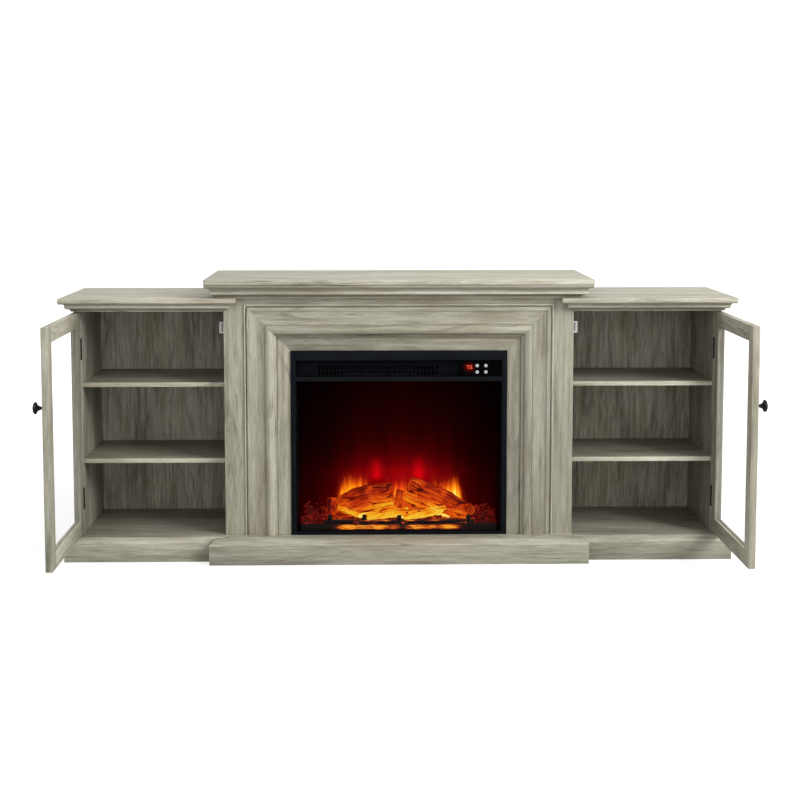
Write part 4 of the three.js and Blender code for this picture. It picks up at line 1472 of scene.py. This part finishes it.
@dataclass
class SideCabinet:
    """One glazed cabinet: boards, shelves, back and catch.

    Attributes:
        finishes: The stand's finishes.
        side: left or right.
        cheek: The x that the catch's grooved face stays within, in millimetres.
        magnet: The x that its body ends at.
        rim, groove: The width of the rim round the groove in its face, and the groove's depth.
        ease: The width of its eased edges.
    """

    finishes: Finishes
    side: str
    cheek: float = 471.4
    magnet: float = 474.6
    rim: float = 3.0
    groove: float = 1.4
    ease: float = 0.5

    def _catch(self) -> None:
        """Builds the magnetic catch: a white body with a grey groove down its face."""
        node, look = f"{self.side}_magnetic_catch", self.finishes
        sign, limit = SIDES[self.side], self.cheek * MM
        piece = copied(node, f"{node}_body")
        coat(piece, look.catch_body, look.catch_groove)
        end = (sign * self.magnet * MM, 0, 0)
        halve(piece, end, (sign, 0, 0), clear_outer=True, use_fill=True)
        choose(piece, "FACE", lambda face: face.normal.y < -FACING and abs(face.center.x) < limit)
        bpy.ops.mesh.inset(thickness=self.rim * MM)
        bpy.ops.transform.translate(value=(0, self.groove * MM, 0))
        bpy.ops.object.mode_set(mode="OBJECT")
        for face in piece.data.polygons:
            face.material_index = 1 if face.select else 0
        ease_edges(piece, self.ease)
        smooth(piece)
        fit_out(piece, "cabinet", "white_plastic", node)

    def build(self) -> None:
        """Builds the cabinet."""
        look, side, sign = self.finishes, self.side, SIDES[self.side]
        Board(look, f"{side}_side_top", Grain.ACROSS, Trim.SLAB, ease=1.0, nose=3.0).build()
        Board(look, f"{side}_side_cornice", Grain.ACROSS, Trim.MOULDING, ease=0.3).build()
        # The right plinth's front takes a darker copy: painted shade.
        front = look.shaded_far_across if sign > 0 else None
        Board(look, f"{side}_side_plinth", Grain.ACROSS, Trim.WRAPPED, main=front).build()
        Board(look, f"{side}_outer_panel", Grain.UPRIGHT, Trim.INWARD, inward=-sign).build()
        Board(look, f"{side}_cabinet_bottom", Grain.ACROSS, Trim.SHELF).build()
        Board(look, f"{side}_cabinet_back", Grain.UPRIGHT, Trim.BACK).build()
        for part in ("lower", "upper"):
            Board(look, f"{side}_{part}_shelf", Grain.ACROSS, Trim.SHELF).build()
            dress(f"{side}_{part}_hinge_cabinet_leaf", look.hinge)
        self._catch()


@dataclass
class Door:
    """One glazed door: two stiles, two rails, pane, knob and hinge leaves.

    Attributes:
        finishes: The stand's finishes.
        side: left or right.
        member: The width of a stile or rail, in millimetres.
        ease: The width of the eased arris.
        groove: The depth of the groove where rail and stile meet.
        rebate: How deep the pane sits in the frame.
        near: How close to a line a vertex has to lie to be on it.
        inwards: How far at most a face points away from the doorway, to take the hinge stile's
            painted shade.
        knob_rings: The knob's outline: shares of its length and of its radius.
        knob_sides: How many sides its rings have.
    """

    finishes: Finishes
    side: str
    member: float = 39.0
    ease: float = 0.7
    groove: float = 0.35
    rebate: float = 6.0
    near: float = 0.3
    inwards: float = 0.5
    knob_sides: int = 40
    knob_rings: tuple[tuple[float, float], ...] = (
        (0.0, 0.40), (0.05, 0.40), (0.09, 0.27), (0.20, 0.25), (0.34, 0.33),
        (0.48, 0.44), (0.58, 0.60), (0.64, 0.86), (0.69, 0.98), (0.74, 1.0),
        (0.82, 0.97), (0.90, 0.82), (0.96, 0.55), (0.995, 0.22),
    )

    def _close_rebate(self, piece: bpy.types.Object, low: Vector, high: Vector) -> None:
        """Draws the floor of the pane's groove up to the pane's edge, all round.

        Args:
            piece: The frame.
            low, high: The corners of its box.
        """
        wide, deep, groove = self.member * MM, self.rebate * MM, self.groove * MM
        upright_edges = ((1, low.y + wide, 1), (1, high.y - wide, -1))
        level_edges = ((2, low.z + wide, 1), (2, high.z - wide, -1))
        for axis, edge, way in upright_edges + level_edges:
            floor = edge - way * deep
            choose(piece, "VERT", lambda vertex: abs(vertex.co[axis] - floor) < self.near * MM)
            move = [0.0, 0.0, 0.0]
            move[axis] = way * (deep - groove)
            bpy.ops.transform.translate(value=move)

    def _groove_joint(
        self, piece: bpy.types.Object, line: float, low: Vector, high: Vector
    ) -> None:
        """Cuts the fine groove where the rails meet a stile.

        Args:
            piece: The frame.
            line: The y that they meet at.
            low, high: The corners of its box.
        """
        groove, reach = self.groove * MM, self.member * MM + SLACK

        def at_joint(vertex: bpy.types.MeshVertex) -> bool:
            """Whether a vertex lies on the line where rail and stile meet."""
            near = min(abs(vertex.co.z - low.z), abs(vertex.co.z - high.z)) < reach
            return near and abs(vertex.co.y - line) < groove * 0.2

        halve(piece, (0, line, 0), (0, 1, 0))
        bpy.ops.mesh.bevel(offset=groove, segments=2, profile=0.5, affect="EDGES")
        choose(piece, "VERT", at_joint)
        bpy.ops.transform.shrink_fatten(value=-groove)
        bpy.ops.object.mode_set(mode="OBJECT")

    def _frame(self, body: str) -> None:
        """Builds the two stiles and two rails, with painted shade on the hinge stile where it faces
        inwards.

        Args:
            body: The body that the frame rides on.
        """
        look, node, sign = self.finishes, f"{self.side}_door_frame", SIDES[self.side]
        low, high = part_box(node)
        lines = (low.y + self.member * MM, high.y - self.member * MM)
        piece = copied(node, f"{self.side}_door_stiles_and_rails")
        coat(piece, look.upright, look.deep, look.highlight_edge_upright, look.shaded_hinge_stile)
        self._close_rebate(piece, low, high)
        # The eased arrises take a painted highlight.
        ease_edges(piece, self.ease, material=2)
        for line in lines:
            self._groove_joint(piece, line, low, high)
        # The hinge stile's faces take painted shade; elsewhere the arrises keep their painted
        # highlight.
        hinge_side = lines[1] - self.rebate * MM
        for face in piece.data.polygons:
            if face.center.y > hinge_side and face.normal.x * sign < self.inwards:
                face.material_index = 3
            elif face.material_index != 2:
                face.material_index = 1 if lines[0] < face.center.y < lines[1] else 0
        smooth(piece)
        fit_out(piece, body, "wood", node)

    def _knob(self, body: str) -> None:
        """Turns the mushroom knob, ring by ring, from its foot on the stile.

        Args:
            body: The body that the knob rides on.
        """
        node, sign = f"{self.side}_door_knob", SIDES[self.side]
        low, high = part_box(node)
        middle = (low + high) / 2
        foot = low.x if sign > 0 else high.x
        length = (high.x - low.x) * sign
        radius = (high.z - low.z) / 2
        bpy.ops.mesh.primitive_circle_add(
            vertices=self.knob_sides,
            radius=radius * self.knob_rings[0][1],
            fill_type="NGON",
            location=(foot, middle.y, middle.z),
            rotation=(0, pi / 2, 0),
        )
        piece = bpy.context.object
        piece.name = f"{node}_turned"
        settle(piece)
        bpy.ops.object.mode_set(mode="EDIT")
        bpy.ops.mesh.select_all(action="SELECT")
        for (start, first), (end, second) in zip(self.knob_rings, self.knob_rings[1:]):
            move = ((end - start) * length, 0, 0)
            bpy.ops.mesh.extrude_region_move(TRANSFORM_OT_translate={"value": move})
            share = second / first
            spot = (foot + end * length, middle.y, middle.z)
            bpy.ops.transform.resize(value=(1, share, share), center_override=spot)
        bpy.ops.mesh.inset(thickness=radius * 0.1)
        bpy.ops.transform.translate(value=(0.005 * length, 0, 0))
        bpy.ops.mesh.select_all(action="SELECT")
        bpy.ops.mesh.normals_make_consistent(inside=False)
        bpy.ops.object.mode_set(mode="OBJECT")
        smooth(piece, 50.0)
        coat(piece, self.finishes.knob)
        fit_out(piece, body, "black_metal", node)

    def build(self) -> None:
        """Builds the door."""
        body = f"{self.side}_door"
        self._frame(body)
        self._knob(body)
        dress(f"{self.side}_door_glass", self.finishes.door_glass)
        for part in ("lower", "upper"):
            dress(f"{self.side}_{part}_hinge_door_leaf", self.finishes.hinge)


@dataclass
class FireBed:
    """What lies in the insert's chamber: logs, mound, chips, grate bar and ledge.

    All lengths are in millimetres, and depths are counted from the wall.

    Attributes:
        finishes: The stand's finishes.
        seed: What the random draws start from.
        end_insets: How far in each ring on a log's sawn end lies, as shares of its radius.
        end_dish: What stays of the log's length inside the second ring.
        ring_near: How close to a ring a vertex has to lie, as a share of the log's length.
        bark_from: How far out the bark begins, as a share of its radius.
        furrow, ridge: The least and the greatest share of the radius at a furrow and a ridge.
        lump_size, lump_height: The bark's lumps, as shares of the radius.
        mound_grid: How many faces the mound has across and in depth.
        mound_shares: Its width and depth, as shares of the chamber's.
        mound_level, mound_thick: Its middle height and its thickness.
        lumps, grit: The size and height of its large and of its fine lumps.
        chips: How many chips there are.
        chip_reach, chip_depths: How far from the middle and how deep in the chamber they lie.
        chip_top, chip_fall: How high they lie at most at the back, and how far below that.
        chip_slope, chip_shoulder: How that height drops with depth and towards the ends.
        chip_sizes: The least and the greatest half width.
        chip_lean: How far a chip leans about x and about y at most, in radians.
        chip_ease: The width of its eased edges.
        bar: The bar's depth and height.
        bar_radius, bar_length, bar_ease: Its radius, its length and its eased edges' width.
        bar_sides: How many sides it has.
        posts, post_level, post_size: Where the posts stand, their middle height, their size.
        bar_gleams: For each painted reflection on the bar its middle, half width and strength.
        ledge, ledge_size, ledge_ease: The ledge's depth and height, its size, its eased edges.
        ledge_gleams: The patches of painted reflection on it, likewise.
    """

    finishes: Finishes
    seed: int = 7
    end_insets: tuple[float, float, float] = (0.16, 0.22, 0.3)
    end_dish: float = 0.985
    ring_near: float = 0.03
    bark_from: float = 0.8
    furrow: tuple[float, float] = (0.86, 1.0)
    ridge: tuple[float, float] = (1.0, 1.08)
    lump_size: float = 0.9
    lump_height: float = 0.28
    mound_grid: tuple[int, int] = (90, 16)
    mound_shares: tuple[float, float] = (0.985, 0.86)
    mound_level: float = 92.0
    mound_thick: float = 12.0
    lumps: tuple[float, float] = (30.0, 30.0)
    grit: tuple[float, float] = (7.0, 9.0)
    chips: int = 150
    chip_reach: tuple[float, float] = (176, 256)
    chip_depths: tuple[float, float] = (236, 300)
    chip_top: float = 132.0
    chip_fall: float = 22.0
    chip_slope: tuple[float, float] = (240, 0.42)
    chip_shoulder: tuple[float, float] = (215, 0.05)
    chip_sizes: tuple[float, float] = (3.5, 8.0)
    chip_lean: tuple[float, float] = (0.5, 0.9)
    chip_ease: float = 0.6
    bar: tuple[float, float] = (303, 95)
    bar_radius: float = 5.0
    bar_length: float = 404.0
    bar_ease: float = 1.8
    bar_sides: int = 20
    posts: tuple[float, ...] = (-184, -92, 1, 186)
    post_level: float = 100.0
    post_size: Point = (12, 11, 26)
    bar_gleams: tuple[Point, ...] = (
        (-78, 26, 0.5), (-34, 14, 0.6), (30, 16, 0.7), (96, 18, 0.5),
    )
    ledge: tuple[float, float] = (308.6, 79)
    ledge_size: Point = (524, 7.8, 24)
    ledge_ease: float = 2.5
    ledge_gleams: tuple[Point, ...] = (
        (-134, 24, 1.4), (-96, 14, 0.7), (-56, 26, 1.3), (-10, 14, 0.5),
        (46, 20, 1.4), (88, 16, 0.7), (134, 22, 1.3),
    )

    LOGS = (
        ("left_upper_log", (-168, 262, 139), (-14, 262, 177), 27.0, (0.30, 0.55), 0.40, 0.3),
        ("right_upper_log", (28, 264, 187), (174, 264, 125), 27.0, (0.86, 0.55), 0.44, 1.1),
        ("left_middle_log", (-162, 282, 127), (-10, 284, 155), 16.0, (0.5, 0.75), 0.58, 2.0),
        ("right_middle_log", (12, 284, 161), (130, 286, 119), 15.0, (0.7, 0.7), 0.72, 2.9),
        ("centre_stub", (4, 282, 112), (9, 270, 173), 19.0, (0.95, 0.80), 0.50, 4.0),
        ("left_front_stick", (-164, 294, 131), (-108, 298, 111), 9.5, (0.5, 0.8), 0.88, 0.8),
        ("left_front_log", (-122, 292, 119), (-14, 290, 143), 12.0, (0.6, 0.8), 0.78, 1.4),
        ("centre_front_log", (-94, 298, 105), (26, 296, 122), 12.5, (0.6, 0.9), 0.94, 5.0),
        ("right_front_log", (12, 297, 106), (128, 296, 127), 13.5, (0.8, 0.6), 0.94, 3.4),
        ("left_end_stump", (-183, 282, 108), (-180, 268, 152), 13.5, (0.95, 0.9), 0.32, 1.9),
        ("right_low_log", (116, 290, 124), (184, 292, 110), 15.0, (0.6, 0.9), 0.52, 0.1),
        ("right_end_log", (186, 268, 126), (193, 303, 124), 14.0, (0.9, 0.95), 0.40, 2.5),
        ("left_low_log", (-170, 288, 112), (-100, 284, 118), 12.0, (0.6, 0.6), 0.46, 3.9),
        ("back_low_log", (-60, 276, 122), (60, 276, 124), 18.0, (0.7, 0.7), 0.66, 2.2),
    )
    RINGS = (-0.5, -0.36, -0.2, -0.04, 0.12, 0.28, 0.41, 0.5)
    COLUMNS = 14

    def _blank(self) -> bpy.types.Object:
        """Models the log that the others are copied from, upright round the origin.

        Returns:
            The log, 1 long and 2 across.
        """
        deselect()
        bpy.ops.mesh.primitive_cylinder_add(
            vertices=self.COLUMNS, radius=1.0, depth=1.0, location=(0, 0, 0)
        )
        piece = bpy.context.object
        outer, middle, inner = self.end_insets
        choose(piece, "FACE", lambda face: abs(face.normal.z) > FACING)
        bpy.ops.mesh.inset(thickness=outer, use_individual=True)
        bpy.ops.mesh.inset(thickness=middle, use_individual=True)
        bpy.ops.transform.resize(value=(1, 1, self.end_dish))
        bpy.ops.mesh.inset(thickness=inner, use_individual=True)
        for level in self.RINGS[1:-1]:
            bpy.ops.mesh.select_all(action="SELECT")
            bpy.ops.mesh.bisect(plane_co=(0, 0, level), plane_no=(0, 0, 1))
        bpy.ops.mesh.select_all(action="DESELECT")
        bpy.ops.object.mode_set(mode="OBJECT")
        return piece

    def _furrow(self, piece: bpy.types.Object, seed: int) -> None:
        """Presses furrows along a log's bark and swells the ridges between them.

        Args:
            piece: The log, upright round the origin.
            seed: What the random draws start from.
        """
        draw = random.Random(seed)
        for column in range(self.COLUMNS):
            angle = -pi + (column + 0.5) * 2 * pi / self.COLUMNS

            def in_column(vertex: bpy.types.MeshVertex) -> bool:
                """Whether a vertex of the bark stands in this column."""
                apart = (atan2(vertex.co.y, vertex.co.x) - angle + pi) % (2 * pi) - pi
                on_bark = vertex.co.to_2d().length > self.bark_from
                return abs(apart) < pi / self.COLUMNS + SLACK and on_bark

            choose(piece, "VERT", in_column)
            share = draw.uniform(*(self.furrow if column % 2 else self.ridge))
            bpy.ops.transform.resize(value=(share, share, 1), center_override=(0, 0, 0))
        bpy.ops.object.mode_set(mode="OBJECT")

    def _swell(self, piece: bpy.types.Object, ends: tuple[float, float]) -> None:
        """Narrows a log towards its ends, ring by ring.

        Args:
            piece: The log, upright round the origin and 1 long.
            ends: Its radius at the lower and the upper end, as shares of the middle's.
        """
        for level in self.RINGS:
            along = level + 0.5
            straight = ends[0] + (ends[1] - ends[0]) * along
            share = straight + (1.0 - straight) * sin(pi * along)
            choose(piece, "VERT", lambda vertex: abs(vertex.co.z - level) < self.ring_near)
            bpy.ops.transform.resize(value=(share, share, 1), center_override=(0, 0, level))
        bpy.ops.object.mode_set(mode="OBJECT")

    def _log(
        self,
        blank: bpy.types.Object,
        name: str,
        start: Point,
        end: Point,
        radius: float,
        ends: tuple[float, float],
        heat: float,
        spin: float,
    ) -> None:
        """Places one log.

        Args:
            blank: The log that it is copied from.
            name: Its name.
            start, end: The middles of its two ends, as x, depth and height.
            radius: Its radius in the middle.
            ends: Its radius at its two ends, as shares of that.
            heat: How bright its painted glow is.
            spin: How far it is rolled round its own axis, in radians.
        """
        first, second = place(*start), place(*end)
        run, middle, thick = second - first, (first + second) / 2, radius * MM
        piece = repeated(blank, name)
        self._furrow(piece, int(spin * 10) + self.seed)
        self._swell(piece, ends)
        modifier(piece, "SUBSURF", levels=2, render_levels=2)
        piece.scale = (thick, thick, run.length)
        piece.rotation_euler = (0, 0, spin)
        settle(piece)
        roughen(piece, f"{name}_lumps", thick * self.lump_size, thick * self.lump_height)
        piece.rotation_mode = "QUATERNION"
        piece.rotation_quaternion = run.to_track_quat("Z", "Y")
        piece.location = middle
        settle(piece)
        piece.rotation_mode = "XYZ"
        smooth(piece, 60.0)
        end_on = hypot(run.x, run.z) < abs(run.y)
        slope = 0.0 if end_on else atan2(run.z, run.x)
        bark = GlowingLog(f"{name}_bark", (middle.x, middle.z), slope, thick, heat, end_on)
        coat(piece, bark.material())
        fit_out(piece, "cabinet", "glowing_logs", "log_set")

    def _mound(self) -> None:
        """Builds the mound that the chips and logs lie on."""
        low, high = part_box("log_set")
        across, deep = self.mound_grid
        spot = (0, (low.y + high.y) / 2, self.mound_level * MM)
        deselect()
        bpy.ops.mesh.primitive_grid_add(
            x_subdivisions=across, y_subdivisions=deep, size=1, location=spot
        )
        piece = bpy.context.object
        piece.name = "ember_mound"
        wide_share, deep_share = self.mound_shares
        piece.scale = ((high.x - low.x) * wide_share, (high.y - low.y) * deep_share, 1)
        settle(piece)
        for name, (size, tall) in (("mound_lumps", self.lumps), ("mound_grit", self.grit)):
            roughen(piece, name, size * MM, tall * MM, direction="Z")
        modifier(piece, "SOLIDIFY", thickness=self.mound_thick * MM, offset=-1)
        smooth(piece, 60.0)
        coat(piece, self.finishes.embers)
        fit_out(piece, "cabinet", "glowing_logs", "log_set")

    def _chip_top(self, x: float, depth: float) -> float:
        """Tells how high a chip may lie.

        Args:
            x, depth: Where it lies.

        Returns:
            The height.
        """
        back, fall = self.chip_slope
        shoulder, drop = self.chip_shoulder
        return self.chip_top - (depth - back) * fall - max(0.0, abs(x) - shoulder) * drop

    def _chips(self) -> None:
        """Scatters charred chips over both ends of the mound."""
        draw = random.Random(self.seed)
        deselect()
        bpy.ops.mesh.primitive_ico_sphere_add(subdivisions=1, radius=1.0, location=(0, 0, 0))
        base = bpy.context.object
        made = []
        for count in range(self.chips):
            x = (-1 if count % 2 else 1) * draw.uniform(*self.chip_reach)
            depth = draw.uniform(*self.chip_depths)
            top = self._chip_top(x, depth)
            piece = repeated(base, f"chip_{count}")
            size = draw.uniform(*self.chip_sizes) * MM
            piece.location = place(x, depth, draw.uniform(top - self.chip_fall, top))
            wide, tall = draw.uniform(1.0, 2.2), draw.uniform(0.4, 0.8)
            piece.scale = (size * wide, size * 0.8, size * tall)
            leans = [draw.uniform(-most, most) for most in self.chip_lean]
            piece.rotation_euler = (*leans, draw.uniform(0, pi))
            made.append(piece)
        bpy.data.objects.remove(base)
        whole = joined(made, "ember_chips")
        ease_edges(whole, self.chip_ease, 1, 20.0)
        coat(whole, self.finishes.embers)
        fit_out(whole, "cabinet", "glowing_logs", "log_set")

    def _bar(self) -> None:
        """Builds the grate: a round bar with four short posts."""
        depth, height = self.bar
        deselect()
        bpy.ops.mesh.primitive_cylinder_add(
            vertices=self.bar_sides,
            radius=self.bar_radius * MM,
            depth=self.bar_length * MM,
            location=place(0, depth, height),
            rotation=(0, pi / 2, 0),
        )
        bar = bpy.context.object
        settle(bar)
        posts = [cube(place(x, depth, self.post_level), self.post_size) for x in self.posts]
        whole = joined([bar, *posts], "grate_bar")
        ease_edges(whole, self.bar_ease, 3, 40.0)
        smooth(whole)
        # The bar's upper side takes painted reflections of the logs' light.
        low, high = height + 0.1 * self.bar_radius, height + 1.2 * self.bar_radius
        coat(whole, FireLedge("bar_gloss_painted_reflection", self.bar_gleams, low, high, 1.6).material())
        fit_out(whole, "cabinet", "glowing_logs", "log_set")

    def _ledge(self) -> None:
        """Builds the ledge in front of the bar."""
        depth, height = self.ledge
        piece = cube(place(0, depth, height), self.ledge_size)
        piece.name = "fire_ledge"
        ease_edges(piece, self.ledge_ease, 4, 40.0)
        smooth(piece)
        # The ledge takes painted reflections of the logs' light in a band.
        foot, top = height - self.ledge_size[2] / 4, height + self.ledge_size[2] / 2
        coat(piece, FireLedge("ledge_gloss_painted_reflection", self.ledge_gleams, foot, top).material())
        fit_out(piece, "cabinet", "glowing_logs", "log_set")

    def build(self) -> None:
        """Builds the fire bed."""
        blank = self._blank()
        for log in self.LOGS:
            self._log(blank, *log)
        bpy.data.objects.remove(blank)
        self._mound()
        self._chips()
        self._bar()
        self._ledge()


@dataclass
class Insert:
    """The electric insert: bezel, glass, panel with its display, duct parts and flame screen.

    All lengths are in millimetres.

    Attributes:
        finishes: The stand's finishes.
        chamfer: The width of the bezel's chamfer.
        wall: How thick the casing's walls are, at least.
        mouth: How far before its front edge its inside is still counted as such.
        figures: The display's figures, each with the x of its left edge.
        figure_foot, figure_size, figure_bar: Their foot, their width and height, a bar's width.
        figure_proud, figure_depth, figure_ease: How far they stand out, how thick they are,
            and the width of their eased edges.
    """

    finishes: Finishes
    chamfer: float = 2.1
    wall: float = 1.0
    mouth: float = 1000.0
    figures: tuple[tuple[str, float], ...] = (("7", 177.6), ("5", 187.2))
    figure_foot: float = 508.0
    figure_size: tuple[float, float] = (6.4, 10.0)
    figure_bar: float = 1.7
    figure_proud: float = 0.08
    figure_depth: float = 0.4
    figure_ease: float = 0.15

    TONGUES = (
        (-160, 9, 138, 192, 0.5), (-150, 9, 142, 205, 0.8), (-137, 12, 138, 214, 1.1),
        (-127, 8, 148, 207, 0.8), (-117, 10, 150, 208, 0.95), (-107, 8, 155, 203, 0.7),
        (-98, 10, 160, 204, 0.85), (-84, 8, 170, 205, 0.5), (-25, 8, 150, 197, 0.7),
        (-8, 9, 148, 186, 0.8), (4, 12, 138, 192, 1.0), (16, 8, 150, 204, 0.85),
        (28, 8, 160, 197, 0.4), (95, 8, 160, 205, 0.6), (108, 9, 155, 197, 0.6),
        (122, 10, 150, 195, 0.85), (134, 9, 150, 198, 0.8), (146, 10, 144, 205, 1.05),
        (154, 10, 138, 199, 1.1), (162, 8, 138, 204, 0.9), (174, 7, 138, 178, 0.4),
    )
    SEGMENTS = {"7": "abc", "5": "afgcd"}

    def _bezel(self) -> None:
        """Builds the bezel with its chamfered arrises and sides near black, a painted shadow gap.
        """
        piece = copied("firebox_bezel", "firebox_bezel_pressed")
        coat(piece, self.finishes.steel, self.finishes.shadow_gap)
        # Faces that don't face the front, and the chamfer, take the painted shadow gap.
        for face in piece.data.polygons:
            face.material_index = 0 if abs(face.normal.y) > FACING else 1
        ease_edges(piece, self.chamfer, material=1)
        smooth(piece)
        fit_out(piece, "cabinet", "black_metal", "firebox_bezel")

    def _casing(self) -> None:
        """Gives the casing its coat, nearly black on the faces inside its walls."""
        low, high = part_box("firebox_casing")
        wall = Vector((1, 1, 1)) * (self.wall * MM)
        open_front = Vector((low.x, low.y - self.mouth * MM, low.z))
        hull = (open_front + wall, high - wall)
        coating = PaintedSteel("casing_black", (30, 31, 33), 0.5, 0.1, hull=hull)
        dress("firebox_casing", coating.material())

    def _segments(self, left: float) -> dict[str, tuple[float, float, float, float]]:
        """Lays out the bars that a figure can have.

        Args:
            left: The x of its left edge.

        Returns:
            For each bar's letter the x and height of its middle, its width and its height.
        """
        wide, tall = self.figure_size
        foot, bar = self.figure_foot, self.figure_bar
        centre, right = left + wide / 2, left + wide - bar / 2
        level, upright = wide - bar, tall / 2 - bar * 0.6
        return {
            "a": (centre, foot + tall - bar / 2, level, bar),
            "g": (centre, foot + tall / 2, level, bar),
            "d": (centre, foot + bar / 2, level, bar),
            "f": (left + bar / 2, foot + tall * 0.75, bar, upright),
            "b": (right, foot + tall * 0.75, bar, upright),
            "c": (right, foot + tall * 0.25, bar, upright),
        }

    def _display(self) -> None:
        """Builds the two red figures of the temperature display from separate bars."""
        low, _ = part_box("control_panel")
        front = low.y - self.figure_proud * MM
        bars = []
        for figure, left in self.figures:
            segments = self._segments(left)
            for letter in self.SEGMENTS[figure]:
                x, z, across, up = segments[letter]
                spot = Vector((x * MM, front, z * MM))
                bars.append(cube(spot, (across, self.figure_depth, up)))
        whole = joined(bars, "temperature_figures")
        ease_edges(whole, self.figure_ease, 2, 40.0)
        coat(whole, self.finishes.figure)
        fit_out(whole, "cabinet", "gloss_black")

    def build(self) -> None:
        """Builds the insert."""
        look = self.finishes
        self._bezel()
        self._casing()
        dress("window_glass", look.window)
        dress("outlet_grille", look.grille)
        dress("control_panel", look.gloss)
        for number in range(1, 5):
            dress(f"push_button_{number}", look.button)
        dress("blower_wheel", look.dark_brushed)
        dress("heater_element", look.dark_brushed)
        dress("flicker_spindle", look.aluminium)
        dress("cord_gland", look.black_plastic)
        dress("flame_screen", FlamePicture("flame_picture", self.TONGUES).material())
        self._display()


@dataclass
class Studio:
    """Floor, light and camera.

    Attributes:
        lens: The focal length in millimetres for a sensor of the width below.
        sensor: That width, in millimetres.
        eye: Where the camera stands, as x, depth and height in millimetres.
        pitch, yaw: How far it looks down and to the right, in degrees.
        shift: How far the view is moved, as a share of the picture's width.
        ambient: The strength of the light from all round.
        floor_side: The floor's side, in metres.
        cloth: How much light the floor gives back, from 0 to 1.
        lift: How much of its own white the camera sees, near the stand and far off.
        lift_reach: The distances between which that grows, in metres.
        lamp, aim: Where the lamp hangs and what it points at, in metres.
        lamp_side, lamp_power: The length of its side in metres, and its power in watts.
    """

    lens: float = 63.08
    sensor: float = 36.0
    eye: Point = (-75.9, 3988.7, 1028.3)
    pitch: float = 5.027
    yaw: float = 1.076
    shift: tuple[float, float] = (0.00456, -0.1317)
    ambient: float = 0.74
    floor_side: float = 24.0
    cloth: float = 0.46
    lift: tuple[float, float] = (0.72, 1.0)
    lift_reach: tuple[float, float] = (1.0, 4.0)
    lamp: Point = (4.9, -3.4, 3.7)
    aim: Point = (0, 0, 0.35)
    lamp_side: float = 3.0
    lamp_power: float = 300.0

    def _camera(self) -> None:
        """Stands the camera where the photograph was taken from."""
        data = bpy.data.cameras.new("stand_camera")
        data.sensor_width = self.sensor
        data.lens = self.lens
        data.shift_x, data.shift_y = self.shift
        camera = bpy.data.objects.new("stand_camera", data)
        camera.location = place(*self.eye)
        camera.rotation_euler = (radians(90 - self.pitch), 0, radians(-self.yaw))
        bpy.context.scene.collection.objects.link(camera)
        bpy.context.scene.camera = camera

    def _floor(self) -> None:
        """Lays a wide white floor that keeps a soft shadow."""
        deselect()
        bpy.ops.mesh.primitive_plane_add(size=self.floor_side, location=(0, 0, 0))
        floor = bpy.context.object
        floor.name = "studio_floor"
        shader = Shader.of_material("studio_white")
        rays = shader.add("ShaderNodeLightPath")
        seen = Wire(shader, rays.outputs["Is Camera Ray"])
        away = shader.node(
            "ShaderNodeVectorMath", {"operation": "LENGTH"}, {0: shader.here()}, "Value"
        )
        lift = seen * shader.step(away, *self.lift_reach, *self.lift)
        cloth = shader.node("ShaderNodeBsdfDiffuse", inputs={"Color": (*[self.cloth] * 3, 1)})
        glow = shader.node("ShaderNodeEmission", inputs={"Color": WHITE, "Strength": lift})
        both = shader.node("ShaderNodeAddShader", inputs={0: cloth, 1: glow})
        shader.add("ShaderNodeOutputMaterial", inputs={"Surface": both})
        coat(floor, shader.owner)

    def _world(self) -> None:
        """Makes the surroundings white to the eye and plain as light."""
        shader = Shader(bpy.data.worlds.new("studio_world"))
        rays = shader.add("ShaderNodeLightPath").outputs
        camera, glossy, through = (
            Wire(shader, rays[f"Is {kind} Ray"]) for kind in ("Camera", "Glossy", "Transmission")
        )
        seen = shader.maths("MAXIMUM", shader.maths("MAXIMUM", camera, glossy), through)
        light, backdrop = (
            shader.node("ShaderNodeBackground", inputs={"Color": WHITE, "Strength": strength})
            for strength in (self.ambient, 1.0)
        )
        both = shader.node("ShaderNodeMixShader", inputs={0: seen, 1: light, 2: backdrop})
        shader.add("ShaderNodeOutputWorld", inputs={"Surface": both})
        bpy.context.scene.world = shader.owner

    def _lamp(self) -> None:
        """Hangs the soft square lamp."""
        data = bpy.data.lights.new("key_lamp", "AREA")
        data.shape = "SQUARE"
        data.size = self.lamp_side
        data.energy = self.lamp_power
        lamp = bpy.data.objects.new("key_lamp", data)
        lamp.location = self.lamp
        way = Vector(self.aim) - Vector(self.lamp)
        lamp.rotation_euler = way.to_track_quat("-Z", "Y").to_euler()
        bpy.context.scene.collection.objects.link(lamp)

    def build(self) -> None:
        """Sets up the studio."""
        self._camera()
        self._floor()
        self._world()
        self._lamp()
        bpy.context.scene.view_settings.view_transform = "Standard"


def keep_sizes() -> None:
    """Updates the view layer."""

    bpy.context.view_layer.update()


def main() -> None:
    """Builds the stand's looks and the studio."""
    logging.basicConfig(level=logging.INFO, format="%(message)s")
    finishes = Finishes()
    Mantel(finishes).build()
    for side in SIDES:
        SideCabinet(finishes, side).build()
        Door(finishes, side).build()
    Insert(finishes).build()
    FireBed(finishes).build()
    Studio().build()
    keep_sizes()


if __name__ == "__main__":
    main()
